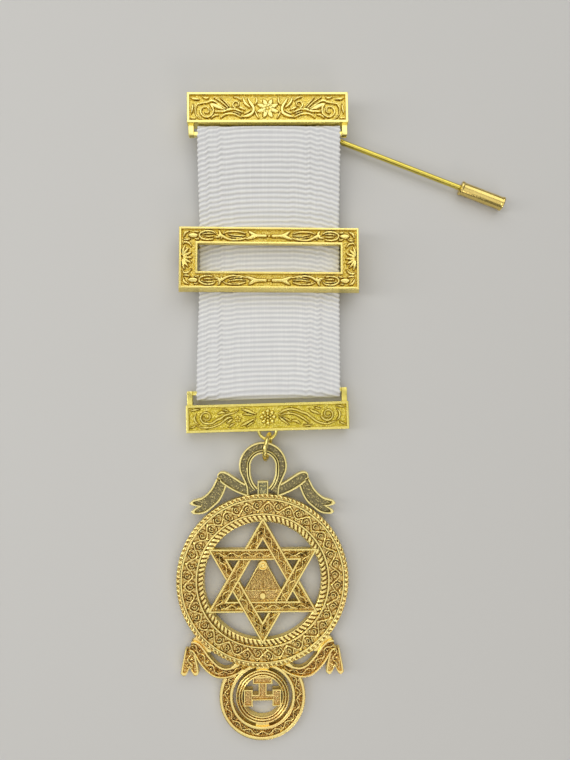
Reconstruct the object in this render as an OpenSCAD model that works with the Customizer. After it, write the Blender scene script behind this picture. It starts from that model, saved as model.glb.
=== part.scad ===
// Breast jewel of gilt brass on a white ribbed ribbon, lying on its back.
// The origin is on the table under the pivot of the brooch pin, +X runs across
// the ribbon, +Y points away from the medal, and +Z points out of the front.
// All sizes are in millimetres.

/* [Top bar] */
// Length of both brooch bars
bar_l = 35.8; // [32:0.1:44]
// Height of the top bar's face
top_bar_h = 6.9; // [5:0.1:10]
// Thickness of both bars, front to back
bar_t = 3; // [2.4:0.1:4]
// Width of the raised rim round a bar's face
bar_rim = 0.58; // [0.3:0.02:1]
// Depth of the sunk ground inside a rim, on the bars and on the slide
sunk = 0.5; // [0.3:0.05:0.8]
// Height of the cast scrolls over the sunk ground
relief = 0.42; // [0.2:0.02:0.5]
// Width of the two lugs that hold a rod
lug_w = 1.2; // [0.8:0.1:1.5]
// How far the lugs stand in from the bar's ends
lug_in = 0.2; // [0:0.05:0.5]
// Thickness of the lugs, front to back
lug_t = 1.6; // [1:0.1:2.2]
// Thickness of the square rods that the ribbon hangs on
rod_d = 0.9; // [0.7:0.05:1]
// Distance from the top bar's edge to its rod
top_lug_reach = 2.05; // [2:0.05:4]
// Turn of the top bar as it lies, in degrees
top_turn = 1; // [0:0.1:1.5]

/* [Ribbon] */
// Width of the ribbon
ribbon_w = 31.6; // [20:0.1:32]
// Thickness of one layer of the ribbon at a rib's crest
ribbon_t = 1; // [0.7:0.05:1.2]
// Spacing of the ribs woven across it
rib_pitch = 1.08; // [0.8:0.02:2]
// Depth of the grooves between the ribs
rib_depth = 0.22; // [0.1:0.02:0.4]
// How far the ribs bow towards the top bar in the middle of the ribbon
rib_bow = 2.1; // [0:0.1:2.5]
// Distance between the two rods, centre to centre
rod_span = 57.5; // [48:0.5:90]
// Play between a rod and the fold of the ribbon round it
fold_play = 0.32; // [0.26:0.02:0.5]
// Offset of the ribbon to the right on its rods
ribbon_off = 0.3; // [-0.3:0.05:0.35]
// How much narrower the slide draws the ribbon in
waist = 0.4; // [0:0.1:1]

/* [Slide] */
// How far the slide's frame reaches past the ribbon on each side
slide_over = 3.9; // [3.5:0.1:7]
// Height of the slide's frame
slide_h = 13.6; // [11:0.1:20]
// Thickness of the frame, front to back
slide_t = 2.5; // [1.8:0.1:4]
// Width of the open window
window_w = 31.3; // [20:0.1:32]
// Height of the open window
window_h = 6.1; // [4:0.1:8]
// How far the walls lean over the thickness of the frame
draft = 0.35; // [0:0.05:0.6]
// Width of the raised rims on the slide
slide_rim = 0.55; // [0.3:0.05:0.8]
// Distance from the top rod to the middle of the slide
slide_drop = 28.4; // [20:0.1:38]
// Thickness of the two straps behind the ribbon
strap_t = 0.8; // [0.5:0.05:1.2]
// Width of the two straps behind the ribbon
strap_w = 3; // [2:0.1:3.8]

/* [Lower bar] */
// Height of the lower bar's face
low_bar_h = 6.1; // [5:0.1:9]
// Distance from the lower bar's edge to its rod
low_lug_reach = 2.65; // [2.2:0.05:4]
// Turn of the lower bar as it hangs, in degrees
low_turn = 1.6; // [0:0.1:2]
// Outer diameter of the eye under the lower bar
eye_d = 4.6; // [4.2:0.1:6]
// Thickness of the eye's wire
eye_wire = 0.7; // [0.6:0.05:0.8]
// Offset of the eye from the bar's middle
eye_off = -0.15; // [-0.4:0.05:0]

/* [Jump ring] */
// Outer diameter of the jump ring
jump_d = 6.5; // [6.3:0.1:8]
// Thickness of its wire
jump_wire = 0.9; // [0.7:0.05:1]
// Turn of the ring away from the jewel's long axis, in degrees
jump_turn = 9; // [0:1:12]
// Lean of the ring away from upright, in degrees
jump_lean = 10; // [0:1:20]

/* [Medal] */
// Outer radius of the large ring
medal_r = 18.75; // [16:0.25:24]
// Thickness of the medal's plate, up to its sunk ground
plate_t = 1.2; // [0.8:0.1:2]
// Height of the medal's rims over the sunk ground
rim_h = 0.5; // [0.3:0.05:0.7]
// Width of a medal rim
rim_w = 0.45; // [0.3:0.05:0.6]
// Width of the corded border round the large ring
border_w = 1.15; // [0.8:0.05:1.6]
// Width of the sunk band that carries the leaf border
band_w = 3.15; // [2:0.05:4]
// Width of the corded ring inside the band
cord_w = 1.3; // [0.8:0.05:1.8]
// Width of the star's interlaced bands
star_w = 2.4; // [1.6:0.1:2.8]
// Number of leaves round the band
leaf_n = 44; // [24:1:56]
// Outer radius of the loop at the top of the medal
loop_r = 5.25; // [4.6:0.05:7]
// Width of the loop's band
loop_w = 2.55; // [1.8:0.05:2.6]
// Height of the loop's centre over the large ring
loop_rise = 6.05; // [5:0.05:8]
// Outer radius of the small ring at the foot of the medal
foot_r = 9.3; // [8:0.1:12]
// Width of the small ring
foot_w = 2.88; // [2.2:0.05:3.6]
// Width of the two rims on the small ring
foot_rim = 0.7; // [0.4:0.05:0.9]
// How far the small ring is tucked under the large one
foot_lap = 3.15; // [2.6:0.05:3.6]
// Gap between the small ring and the disc in it
foot_gap = 0.66; // [0.4:0.05:1.2]
// Width of the ring round the triple cross
disc_w = 1.45; // [1:0.05:1.8]
// Height that the loop's back is held up by the jump ring
medal_lift = 1.95; // [1.2:0.05:2.1]
// Offset of the medal's middle line from the middle of the top bar
medal_off = -0.9; // [-1.2:0.05:0]

/* [Brooch pin] */
// Thickness of the pin's wire
pin_d = 1.2; // [0.8:0.05:1.3]
// Distance from the pivot to the outer end of the cap
pin_reach = 57.8; // [45:0.1:70]
// Angle of the pin below the bar's line, in degrees
pin_angle = 20.8; // [14:0.1:24]
// Height of the pivot above the middle line of the top bar
pivot_off = 0.64; // [0:0.02:1.2]
// Length of the cap on the pin's point
cap_l = 10.5; // [8:0.1:14]
// Diameter of the cap over its end collars
cap_d = 3.2; // [2.6:0.05:3.3]
// Diameter of the pivot's head
head_d = 4.2; // [3:0.1:5.6]
// Thickness of the pivot's head
head_t = 0.65; // [0.4:0.05:0.8]
// Running clearance round the pivot and inside the cap, on the radius
fit = 0.06; // [0.03:0.01:0.1]

/* [Hidden] */
$fn = 48;

// The small gap that separate pieces keep
gap = 0.2;
// Two solids that are one casting run this far into each other
bite = 0.1;
// Heights: the pin's axis is that of its cap, which lies on the table
pin_z = cap_d / 2;
// The pin's eye is hammered flatter than its wire
eye_t = 0.8 * pin_d;
top_back = pin_z + pin_d / 2 + 0.5;
top_rod_z = top_back + bar_t / 2;
fold_in = rod_d / 2 + fold_play;
fold_mid = fold_in + ribbon_t / 2;
low_back = fold_in + ribbon_t + 0.05 - bar_t / 2;
low_rod_z = low_back + bar_t / 2;
// The two layers of ribbon pass between the slide's straps and its frame
back_layer_z = strap_t + 0.15 + ribbon_t / 2;
front_layer_z = back_layer_z + ribbon_t + 0.1;
slide_back = front_layer_z + ribbon_t / 2 + gap;
slide_w = ribbon_w + 2 * slide_over;
// Width of the posts between the slide and its straps
post_w = 1.5;
// Places along the jewel
top_bar_y = -pivot_off;
top_rod_y = top_bar_y - top_bar_h / 2 - top_lug_reach;
low_rod_y = top_rod_y - rod_span;
slide_y = top_rod_y - slide_drop;
low_bar_y = low_rod_y - low_lug_reach - low_bar_h / 2;
low_edge_y = low_bar_y - low_bar_h / 2;
eye_mid_r = eye_d / 2 - eye_wire / 2;
eye_y = low_edge_y + 2 * bite;
eye_foot_y = eye_y - eye_d / 2;
jump_mid_r = jump_d / 2 - jump_wire / 2;
jump_z = jump_mid_r * cos(jump_lean) + jump_wire / 2;
jump_y = low_edge_y - 0.22 - jump_d / 2 * cos(jump_turn);
jump_x = 0.1;
eye_z = min(jump_z - 0.3, low_back + bar_t - eye_wire / 2);
// Places on the medal, from the centre of the large ring
loop_y = medal_r + loop_rise;
loop_in = loop_r - loop_w;
foot_y = -(medal_r + foot_r - foot_lap);
medal_foot = foot_y - foot_r;
medal_top_y = eye_foot_y - gap;
medal_y = medal_top_y - loop_y - loop_r;
medal_tilt = asin(medal_lift / (loop_y - medal_foot));
medal_t = plate_t + rim_h;
band_out = medal_r - border_w;
band_in = band_out - band_w;
hole_r = band_in - cord_w - rim_w;
star_r = hole_r + cord_w - 0.3;
star_in = star_r - 2 * star_w;
foot_in = foot_r - foot_w;
disc_r = foot_in - foot_gap;
disc_in = disc_r - disc_w;

BRASS = [0.83, 0.71, 0.36];
MEDAL_GILT = [0.72, 0.58, 0.3];
SILK = [0.84, 0.84, 0.83];

// Lines with a changing width. A row is [x, y, half width].

function spline_point(a, b, c, d, t) =
    0.5 * (2 * b + (c - a) * t + (2 * a - 5 * b + 4 * c - d) * t * t
           + (3 * b - a - 3 * c + d) * t * t * t);

function smooth_line(rows, n) = let (m = len(rows) - 1) concat([
    for (i = [0 : m - 1], k = [0 : n - 1])
        spline_point(rows[max(i - 1, 0)], rows[i], rows[i + 1], rows[min(i + 2, m)], k / n)
    ], [rows[m]]);

function heading(line, i) = let (
    a = line[max(i - 1, 0)],
    b = line[min(i + 1, len(line) - 1)],
    d = [b.x - a.x, b.y - a.y]
    ) d / norm(d);

function line_side(line, s) = [
    for (i = [0 : len(line) - 1]) let (u = heading(line, i), w = max(line[i].z, 0.06))
        [line[i].x - s * u.y * w, line[i].y + s * u.x * w]];

function backwards(list) = [for (i = [len(list) - 1 : -1 : 0]) list[i]];

// Takes rows given as shares of sizes to millimetres
function sized(rows, sx, sy, sw) = [for (r = rows) [r.x * sx, r.y * sy, r.z * sw]];

// The same rows with less width, for the ground inside a rim
function narrower(rows, by) = [for (r = rows) [r.x, r.y, r.z - by]];

module stroke(rows, n = 3) {
    line = smooth_line(rows, n);
    polygon(concat(line_side(line, 1), backwards(line_side(line, -1))));
}

// A stroke that ends in the two points of a swallowtail
module forked_stroke(rows, point, notch, n = 3) {
    line = smooth_line(rows, n);
    last = len(line) - 1;
    u = heading(line, last);
    end = [line[last].x, line[last].y];
    left = line_side(line, 1);
    right = line_side(line, -1);
    polygon(concat(
        left,
        [left[last] + u * point, left[last] * 0.8 + end * 0.2 + u * point * 1.1],
        [end - u * notch],
        [right[last] * 0.8 + end * 0.2 + u * point * 1.1, right[last] + u * point],
        backwards(right)));
}

// Rows of a volute that winds inwards round [x, y]
function volute(x, y, r_out, r_in, from, turn, w) = let (steps = ceil(abs(turn) / 36)) [
    for (i = [0 : steps]) let (t = i / steps, r = r_out + (r_in - r_out) * t, a = from + turn * t)
        [x + r * cos(a), y + r * sin(a), w * (1 - 0.45 * t)]];

module mirrored() {
    children();
    mirror([1, 0]) children();
}

// A long bar along X whose two walls lean in by the draft towards its front
module leaning_bar(l, w, t, lean) {
    rotate([90, 0, 90]) translate([0, 0, -l / 2]) linear_extrude(l)
        polygon([[-w / 2 - lean, 0], [w / 2 + lean, 0], [w / 2, t], [-w / 2, t]]);
}

// A slab with all four walls leaning
module leaning_slab(w, h, t, lean) {
    intersection() {
        leaning_bar(w + h, h, t, lean);
        rotate([0, 0, 90]) leaning_bar(w + h, w, t, lean);
    }
}

// Cast bars

// Half of the foliate scroll on a bar. Shares: x of the half length, y of the
// half height and width of the rim.
BAR_SCROLL = [
    // S-shaped leaf beside the flower
    [[0.1, 0.4, 0.3], [0.105, -0.15, 0.6], [0.165, -0.55, 0.9], [0.27, -0.46, 0.5]],
    // leaf that rises from it
    [[0.15, -0.2, 0.4], [0.22, 0.15, 0.8], [0.29, 0.55, 0.3]],
    // lower stem with its curl
    [[0.3, -0.2, 0.3], [0.4, -0.45, 0.7], [0.5, -0.3, 0.5], [0.56, -0.62, 0.3]],
    // hook over the stem
    [[0.35, 0.1, 0.3], [0.38, 0.48, 0.6], [0.43, 0.3, 0.4]],
    // crossing leaf
    [[0.44, 0.5, 0.3], [0.5, 0, 0.7], [0.53, -0.2, 0.4]],
    // upper stem that runs into the volute
    [[0.46, -0.05, 0.4], [0.56, 0.25, 0.9], [0.66, 0.5, 0.7], [0.76, 0.45, 0.5]],
    // leaf beyond the volute
    [[0.83, 0.45, 0.3], [0.89, 0.15, 0.8], [0.92, -0.3, 0.3]],
    // bud in the corner
    [[0.86, -0.55, 0.6], [0.9, -0.6, 0.7]]
];

module bar_ornament(h) {
    half = [bar_l / 2, h / 2];
    w = bar_rim;
    mirrored() {
        for (rows = BAR_SCROLL) stroke(sized(rows, half.x, half.y, w));
        stroke(volute(0.745 * half.x, -0.13 * half.y, 0.56 * half.y, 0.12 * half.y, 120, -520, 0.5 * w), 1);
    }
    // flower in the middle
    for (a = [0 : 60 : 300]) rotate(a + 30) translate([0.24 * h, 0]) circle(r = 0.1 * h, $fn = 8);
    circle(r = 0.085 * h, $fn = 10);
}

// A bar with its lugs and rod. The lugs point towards +Y.
module cast_bar(h, reach) {
    difference() {
        translate([-bar_l / 2, -h / 2, 0]) cube([bar_l, h, bar_t]);
        translate([-bar_l / 2 + bar_rim, -h / 2 + bar_rim, bar_t - sunk])
            cube([bar_l - 2 * bar_rim, h - 2 * bar_rim, sunk + 1]);
    }
    translate([0, 0, bar_t - sunk - bite]) linear_extrude(relief + bite) bar_ornament(h);
    rod_y = h / 2 + reach;
    for (s = [-1, 1])
        translate([s * (bar_l / 2 - lug_in) - (s > 0 ? lug_w : 0), h / 2 - bite, (bar_t - lug_t) / 2])
            cube([lug_w, reach + bite + rod_d / 2, lug_t]);
    translate([0, rod_y, bar_t / 2]) cube([bar_l - 2 * lug_in - lug_w, rod_d, rod_d], center = true);
}

module top_bar() {
    color(BRASS) {
        rotate([0, 0, top_turn]) translate([0, top_bar_y, top_back]) mirror([0, 1, 0])
            cast_bar(top_bar_h, top_lug_reach);
        // pivot post of the pin, with its head below
        cylinder(d = head_d, h = head_t);
        cylinder(d = pin_d * 1.35, h = top_back + bite);
    }
}

module lower_bar() {
    color(BRASS) translate([0, low_rod_y, low_back]) rotate([0, 0, low_turn]) translate([0, -low_rod_y, 0]) {
        translate([0, low_bar_y, 0]) cast_bar(low_bar_h, low_lug_reach);
        translate([eye_off, eye_y, eye_z - low_back]) rotate([0, 0, 180])
            rotate_extrude(angle = 180) translate([eye_mid_r, 0]) circle(d = eye_wire, $fn = 24);
    }
}

// Brooch pin

post_r = pin_d * 1.35 / 2;
knuckle_r = post_r + fit + pin_d;
cap_start = pin_reach - cap_l;

module on_pin_axis() {
    translate([0, 0, pin_z]) rotate([0, 0, -pin_angle]) rotate([0, 90, 0]) children();
}

module pin() {
    point_l = 2.2;
    root = knuckle_r - 0.6;
    wire_end = pin_reach - 1.8;
    color(BRASS) difference() {
        union() {
            translate([0, 0, pin_z - eye_t / 2]) cylinder(r = knuckle_r, h = eye_t);
            on_pin_axis() {
                translate([0, 0, root]) cylinder(d = pin_d, h = wire_end - point_l - root);
                translate([0, 0, wire_end - point_l]) cylinder(d1 = pin_d, d2 = 0.25, h = point_l, $fn = 24);
            }
        }
        translate([0, 0, pin_z - eye_t]) cylinder(r = post_r + fit, h = 2 * eye_t);
    }
}

module pin_cap() {
    collar = 0.55;
    body_r = cap_d / 2 - 0.2;
    bore_l = cap_l - 1.2;
    color(BRASS) on_pin_axis() translate([0, 0, cap_start]) difference() {
        union() {
            cylinder(r = body_r, h = cap_l);
            for (z = [0, cap_l - collar]) translate([0, 0, z]) cylinder(d = cap_d, h = collar);
        }
        translate([0, 0, -1]) cylinder(r = pin_d / 2 + fit, h = bore_l + 1);
    }
}

// Ribbon, a closed loop of ribbed silk round both rods

function ease(t) = let (c = min(max(t, 0), 1)) c * c * (3 - 2 * c);

// Height of a layer between a fold and the slide, at y
function layer_z(y, top_z, slide_z, low_z) =
    y > slide_y
        ? slide_z + (top_z - slide_z) * ease((y - slide_y - slide_h / 2) / (top_rod_y - slide_y - slide_h / 2))
        : slide_z + (low_z - slide_z) * ease((slide_y - slide_h / 2 - y) / (slide_y - slide_h / 2 - low_rod_y));

function fold_points(y, z, from, turn) = [
    for (a = [0 : 15 : 165]) let (b = from + turn * a / 180) [y + fold_mid * cos(b), z + fold_mid * sin(b)]];

RUN_STEPS = 40;
// Middle of the cloth as [y, z], over the top rod, down the front and up the back
RIBBON_PATH = concat(
    fold_points(top_rod_y, top_rod_z, -90, 180),
    [for (i = [0 : RUN_STEPS - 1]) let (y = top_rod_y - rod_span * i / RUN_STEPS)
        [y, layer_z(y, top_rod_z + fold_mid, front_layer_z, low_rod_z + fold_mid)]],
    fold_points(low_rod_y, low_rod_z, 90, 180),
    [for (i = [0 : RUN_STEPS]) let (y = low_rod_y + rod_span * i / RUN_STEPS)
        [y, layer_z(y, top_rod_z - fold_mid, back_layer_z, low_rod_z - fold_mid)]]);

function running_length(path, i = 0, sum = 0) =
    i == len(path) - 1
        ? [sum]
        : concat([sum], running_length(path, i + 1, sum + norm(path[i + 1] - path[i])));

RIBBON_S = running_length(RIBBON_PATH);
RIBBON_LOOP = RIBBON_S[len(RIBBON_S) - 1];
RIBBON_Y = [for (i = [0 : len(RIBBON_PATH) - 1]) [RIBBON_S[i], RIBBON_PATH[i][0]]];
RIBBON_Z = [for (i = [0 : len(RIBBON_PATH) - 1]) [RIBBON_S[i], RIBBON_PATH[i][1]]];

function wrapped(s) = s - RIBBON_LOOP * floor(s / RIBBON_LOOP);
function on_ribbon(s) = let (w = wrapped(s)) [lookup(w, RIBBON_Y), lookup(w, RIBBON_Z)];

// A point of the cloth at s along the loop, x across it and off its middle layer
function cloth_point(s, x, off) = let (
    p = on_ribbon(s),
    d = on_ribbon(s + 0.4) - on_ribbon(s - 0.4),
    u = d / norm(d),
    q = p + [u.y, -u.x] * off,
    down = (top_rod_y - q.x) / rod_span,
    turn = top_turn + (low_turn - top_turn) * min(max(down, 0), 1),
    drawn = waist * ease(1 - abs(q.x - slide_y) / (rod_span / 2))
    ) [x + ribbon_off + drawn * (0.5 - x / ribbon_w), q.x + x * tan(turn), q.y];

module ribbon() {
    ribs = round(RIBBON_LOOP / rib_pitch);
    pitch = RIBBON_LOOP / ribs;
    bows = [-1, -0.75, -0.4, 0.4, 0.75, 1];
    wave = [1, 0.62, 0, 0.62];
    outer_n = 4 * ribs;
    sections = len(bows);
    row = outer_n + ribs;
    points = [for (b = bows) let (x = b * ribbon_w / 2, shift = rib_bow * (1 - pow(abs(b), 3))) each concat(
        [for (i = [0 : outer_n - 1])
            cloth_point(i * pitch / 4 - shift, x, ribbon_t / 2 - rib_depth * wave[i % 4])],
        [for (i = [0 : ribs - 1]) cloth_point(i * pitch - shift, x, -ribbon_t / 2)])];
    function outer(k, i) = k * row + i % outer_n;
    function inner(k, i) = k * row + outer_n + i % ribs;
    // each four-sided patch is cut along its shorter diagonal
    function patch(a, b, c, d, left) = left ? [[a, b, c], [a, c, d]] : [[a, b, d], [b, c, d]];
    walls = [for (k = [0 : sections - 2]) let (left = bows[k + 1] <= 0) each concat(
        [for (i = [0 : outer_n - 1])
            each patch(outer(k, i), outer(k + 1, i), outer(k + 1, i + 1), outer(k, i + 1), left)],
        [for (i = [0 : ribs - 1])
            each patch(inner(k, i + 1), inner(k + 1, i + 1), inner(k + 1, i), inner(k, i), !left)])];
    function edge(k, flip) = [for (i = [0 : ribs - 1]) each [
        for (t = [
            [inner(k, i), outer(k, 4 * i), outer(k, 4 * i + 1)],
            [inner(k, i), outer(k, 4 * i + 1), outer(k, 4 * i + 2)],
            [inner(k, i), outer(k, 4 * i + 2), inner(k, i + 1)],
            [inner(k, i + 1), outer(k, 4 * i + 2), outer(k, 4 * i + 3)],
            [inner(k, i + 1), outer(k, 4 * i + 3), outer(k, 4 * i + 4)]])
            flip ? [t.z, t.y, t.x] : t]];
    color(SILK) polyhedron(points, concat(walls, edge(0, false), edge(sections - 1, true)));
}

// Slide with its window

// Half of the scroll on a long band of the slide. Shares: x of the half width,
// y of the band's half height and width of the rim.
SLIDE_SCROLL = [
    // forked leaf beside the bead
    [[0.035, 0, 0.7], [0.13, 0, 0.7], [0.19, 0.05, 1.5], [0.225, 0.35, 0.4]],
    [[0.17, -0.05, 0.9], [0.225, -0.4, 0.4]],
    // long leaf, upper and lower edge
    [[0.23, -0.25, 0.3], [0.32, -0.45, 0.6], [0.42, -0.3, 0.7], [0.5, 0.05, 0.5]],
    [[0.27, 0.2, 0.3], [0.35, 0.35, 0.5], [0.44, 0.15, 0.4]],
    // crossed leaf
    [[0.485, 0.45, 0.3], [0.525, 0, 0.6], [0.49, -0.4, 0.3]],
    [[0.53, 0, 0.5], [0.575, -0.35, 0.3]],
    // oval leaf
    [[0.6, -0.3, 0.3], [0.68, -0.4, 0.6], [0.745, 0, 0.6], [0.68, 0.4, 0.6], [0.6, 0.25, 0.3]],
    // corner leaf
    [[0.78, -0.1, 0.4], [0.83, 0.05, 1.2], [0.87, 0.35, 0.3]]
];

// Curled leaf of the palmette on the short band, as shares of its half width
SIDE_LEAF = [[-0.05, 0.42, 0.04], [-0.2, 0.6, 0.09], [-0.4, 0.85, 0.07], [-0.3, 1.1, 0.03]];

module slide_ornament() {
    band = (slide_h - window_h) / 2;
    side = (slide_w - window_w) / 2;
    for (m = [0, 1]) mirror([0, m]) translate([0, (window_h + band) / 2]) {
        mirrored() for (rows = SLIDE_SCROLL) stroke(sized(rows, slide_w / 2, band / 2, slide_rim));
        circle(r = 0.09 * band, $fn = 10);
    }
    // shell of leaves on each side band, between two curled ones
    mirrored() translate([window_w / 2 + 0.8 * side, 0]) {
        for (a = [-50 : 25 : 50]) rotate(180 + a)
            stroke(sized([[0.08, 0, 0.04], [0.3, 0, 0.075], [0.5, 0, 0.03]], side, side, side), 2);
        for (m = [0, 1]) mirror([0, m])
            stroke(sized(SIDE_LEAF, side, side, side));
    }
}

module slide_frame() {
    rim_in = [window_w + 2 * slide_rim, window_h + 2 * slide_rim];
    post_x = ribbon_w / 2 + post_w;
    strap_y = (window_h + slide_h) / 4;
    color(BRASS) translate([ribbon_off + 0.1, slide_y, 0]) {
        translate([0, 0, slide_back]) {
            difference() {
                leaning_slab(slide_w, slide_h, slide_t, draft);
                translate([0, 0, -bite]) leaning_slab(window_w, window_h, slide_t + 2 * bite, -draft);
                translate([0, 0, slide_t - sunk]) linear_extrude(sunk + 1) difference() {
                    square([slide_w - 2 * slide_rim, slide_h - 2 * slide_rim], center = true);
                    square(rim_in, center = true);
                }
            }
            translate([0, 0, slide_t - sunk - bite]) linear_extrude(relief + bite) slide_ornament();
        }
        for (s = [-1, 1]) {
            translate([-post_x, s * strap_y - strap_w / 2, 0]) cube([2 * post_x, strap_w, strap_t]);
            for (side = [-1, 1])
                translate([side * (post_x - post_w / 2) - post_w / 2, s * strap_y - strap_w / 2, 0])
                cube([post_w, strap_w, slide_back + bite]);
        }
    }
}

module jump_ring() {
    color(BRASS) translate([jump_x, jump_y, jump_z]) rotate([0, 90 - jump_lean, -jump_turn])
        rotate_extrude() translate([jump_mid_r, 0]) circle(d = jump_wire, $fn = 24);
}

// Medal, drawn flat round the centre of its large ring

// Left half of the bow: shares of the large ring's radius
WING_INNER = [[-0.139, 1.019, 0.059], [-0.272, 1.077, 0.067], [-0.379, 1.141, 0.071], [-0.448, 1.187, 0.068],
    [-0.49, 1.205, 0.056], [-0.518, 1.195, 0.025]];
WING_OUTER = [[-0.465, 1.215, 0.052], [-0.487, 1.128, 0.07], [-0.523, 1.04, 0.077], [-0.568, 0.971, 0.083],
    [-0.625, 0.917, 0.083], [-0.701, 0.867, 0.09], [-0.785, 0.85, 0.08]];
// Where the outer part comes out from under the inner one
WING_COVER = [[-0.57, 1.182], [-0.445, 1.109], [-0.4, 1.3], [-0.57, 1.3]];
// Left half of the lower scroll: shares of the large ring's radius
SCROLL_BAND = [[-0.832, -0.736, 0.05], [-0.773, -0.757, 0.054], [-0.728, -0.811, 0.062],
    [-0.683, -0.883, 0.069],
    [-0.627, -0.952, 0.071], [-0.56, -1.016, 0.07], [-0.496, -1.048, 0.065], [-0.42, -1.056, 0.056],
    [-0.32, -1.03, 0.05], [-0.24, -0.985, 0.045]];
SCROLL_TAIL = [[-0.843, -0.779, 0.05], [-0.84, -0.84, 0.064], [-0.838, -0.9, 0.076], [-0.837, -0.965, 0.092],
    [-0.837, -1.03, 0.104]];
SCROLL_WEB = [[-0.763, -0.64], [-0.805, -0.677], [-0.763, -0.741], [-0.672, -0.816], [-0.6, -0.826],
    [-0.587, -0.795]];
// Points and notch of the swallowtails
FORK_POINT = 0.05;
FORK_NOTCH = 0.04;

function on_medal(rows) = sized(rows, medal_r, medal_r, medal_r);

module ring_2d(r_out, r_in) {
    difference() {
        circle(r = r_out, $fn = 96);
        circle(r = r_in, $fn = 96);
    }
}

// The six bands of the star: k = 0, 1, 2 make the triangle that points up and
// 3, 4, 5 the one that points down. A band runs from one tip to the next.
function star_next(k) = k < 3 ? (k + 1) % 3 : 3 + (k + 1) % 3;
// The band that passes over band k
function star_above(k) = [5, 3, 4, 2, 0, 1][k];
function star_angle(k) = k < 3 ? 90 - 120 * k : -90 - 120 * k;
function star_tip(k, r) = [r * cos(star_angle(k)), r * sin(star_angle(k))];

module star_band(k, in_from = 0, in_to = star_w) {
    a = star_r - 2 * in_from;
    b = star_r - 2 * in_to;
    next = star_next(k);
    polygon([star_tip(k, a), star_tip(next, a), star_tip(next, b), star_tip(k, b)]);
}

module centre_plate() {
    top = 0.26 * star_r;
    foot = -(star_in / 2) - bite;
    slope = 0.56;
    neck = 0.066 * star_r;
    spread = (top - foot) * slope;
    polygon([[-neck, top], [neck, top], [neck + spread, foot], [-neck - spread, foot]]);
    translate([0, top - 0.3]) circle(r = 0.078 * star_r, $fn = 24);
    translate([-0.3, top]) square([0.6, star_in / 2 - top + bite]);
}

module wing_inner(less = 0) stroke(narrower(on_medal(WING_INNER), less));
module wing_outer(less = 0) forked_stroke(narrower(on_medal(WING_OUTER), less),
    FORK_POINT * medal_r - less, FORK_NOTCH * medal_r + less);
module scroll_band(less = 0) stroke(narrower(on_medal(SCROLL_BAND), less));
module scroll_tail(less = 0) forked_stroke(narrower(on_medal(SCROLL_TAIL), less),
    FORK_POINT * medal_r - less, FORK_NOTCH * medal_r + less);

// Sides of the loop below its round part: shares of the radius and of the rise
LOOP_ARM = [[1, 0], [0.975, -0.17], [0.88, -0.37], [0.76, -0.6], [0.68, -0.8], [0.66, -1.05]];
LOOP_HOLE = [[1, 0], [0.985, -0.27], [0.93, -0.4], [0.8, -0.56], [0.6, -0.7], [0.42, -0.79]];

function both_sides(rows, r) = concat(
    [for (p = rows) [p.x * r, loop_y + p.y * loop_rise]],
    backwards([for (p = rows) [-p.x * r, loop_y + p.y * loop_rise]]));

module loop_outline(r) {
    translate([0, loop_y]) circle(r = r, $fn = 72);
    polygon(both_sides(LOOP_ARM, r));
}
module loop_hole(more = 0) {
    translate([0, loop_y]) circle(r = loop_in + more, $fn = 48);
    translate([0, -more]) polygon(both_sides(LOOP_HOLE, loop_in + more));
}
tab_w = 2.34;
tab_h = 2.8;
module tab_2d(less = 0) translate([-tab_w / 2 + less, medal_r - 1])
    square([tab_w - 2 * less, tab_h + 1 - less]);

// Width of the rims round the triple cross
cross_rim = 0.28;
module triple_cross(less = 0) {
    // upper cross bar and stem
    translate([-0.5 * disc_in + less, 0.615 * disc_in + less])
        square([disc_in - 2 * less, 0.33 * disc_in - 2 * less]);
    translate([-0.21 * disc_in + less, -0.2 * disc_in + less])
        square([0.42 * disc_in - 2 * less, 0.9 * disc_in]);
    // level bar between the two upright bars
    translate([-0.6 * disc_in, -0.2 * disc_in + less]) square([1.2 * disc_in, 0.3 * disc_in - 2 * less]);
    for (s = [-1, 1]) translate([s * 0.715 * disc_in, -0.07 * disc_in])
        square([0.45 * disc_in - 2 * less, 0.84 * disc_in - 2 * less], center = true);
}

module foot_disc() {
    bridge_w = 2.9;
    ring_2d(disc_r, disc_in);
    intersection() {
        circle(r = disc_in + bite, $fn = 96);
        triple_cross();
    }
    for (s = [-1, 1]) translate([-bridge_w / 2, s * (disc_r + foot_in) / 2 - (foot_gap + 2 * bite) / 2])
        square([bridge_w, foot_gap + 2 * bite]);
}

module medal_plate() {
    ring_2d(medal_r, hole_r);
    for (k = [0 : 5]) star_band(k);
    centre_plate();
    difference() {
        loop_outline(loop_r);
        loop_hole();
    }
    tab_2d();
    mirrored() {
        wing_inner();
        wing_outer();
        scroll_band();
        scroll_tail();
        polygon(SCROLL_WEB * medal_r);
    }
    translate([0, foot_y]) {
        difference() {
            ring_2d(foot_r, foot_in);
            translate([0, -foot_y]) circle(r = medal_r - 1, $fn = 96);
        }
        foot_disc();
    }
}

// Rims of the large ring, its corded borders and the loop
module ring_rims() {
    ring_2d(medal_r, band_out - rim_w);
    ring_2d(band_in + rim_w, hole_r);
}

module star_rims() {
    for (k = [0 : 5]) difference() {
        union() {
            star_band(k, 0, rim_w);
            star_band(k, star_w - rim_w, star_w);
        }
        star_band(star_above(k));
    }
}

module loop_rims() {
    difference() {
        loop_outline(loop_r);
        difference() {
            loop_outline(loop_r - rim_w);
            loop_hole(rim_w);
        }
        loop_hole();
        circle(r = medal_r - bite, $fn = 96);
    }
    difference() {
        tab_2d();
        tab_2d(rim_w * 0.6);
        circle(r = medal_r - bite, $fn = 96);
    }
}

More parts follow.
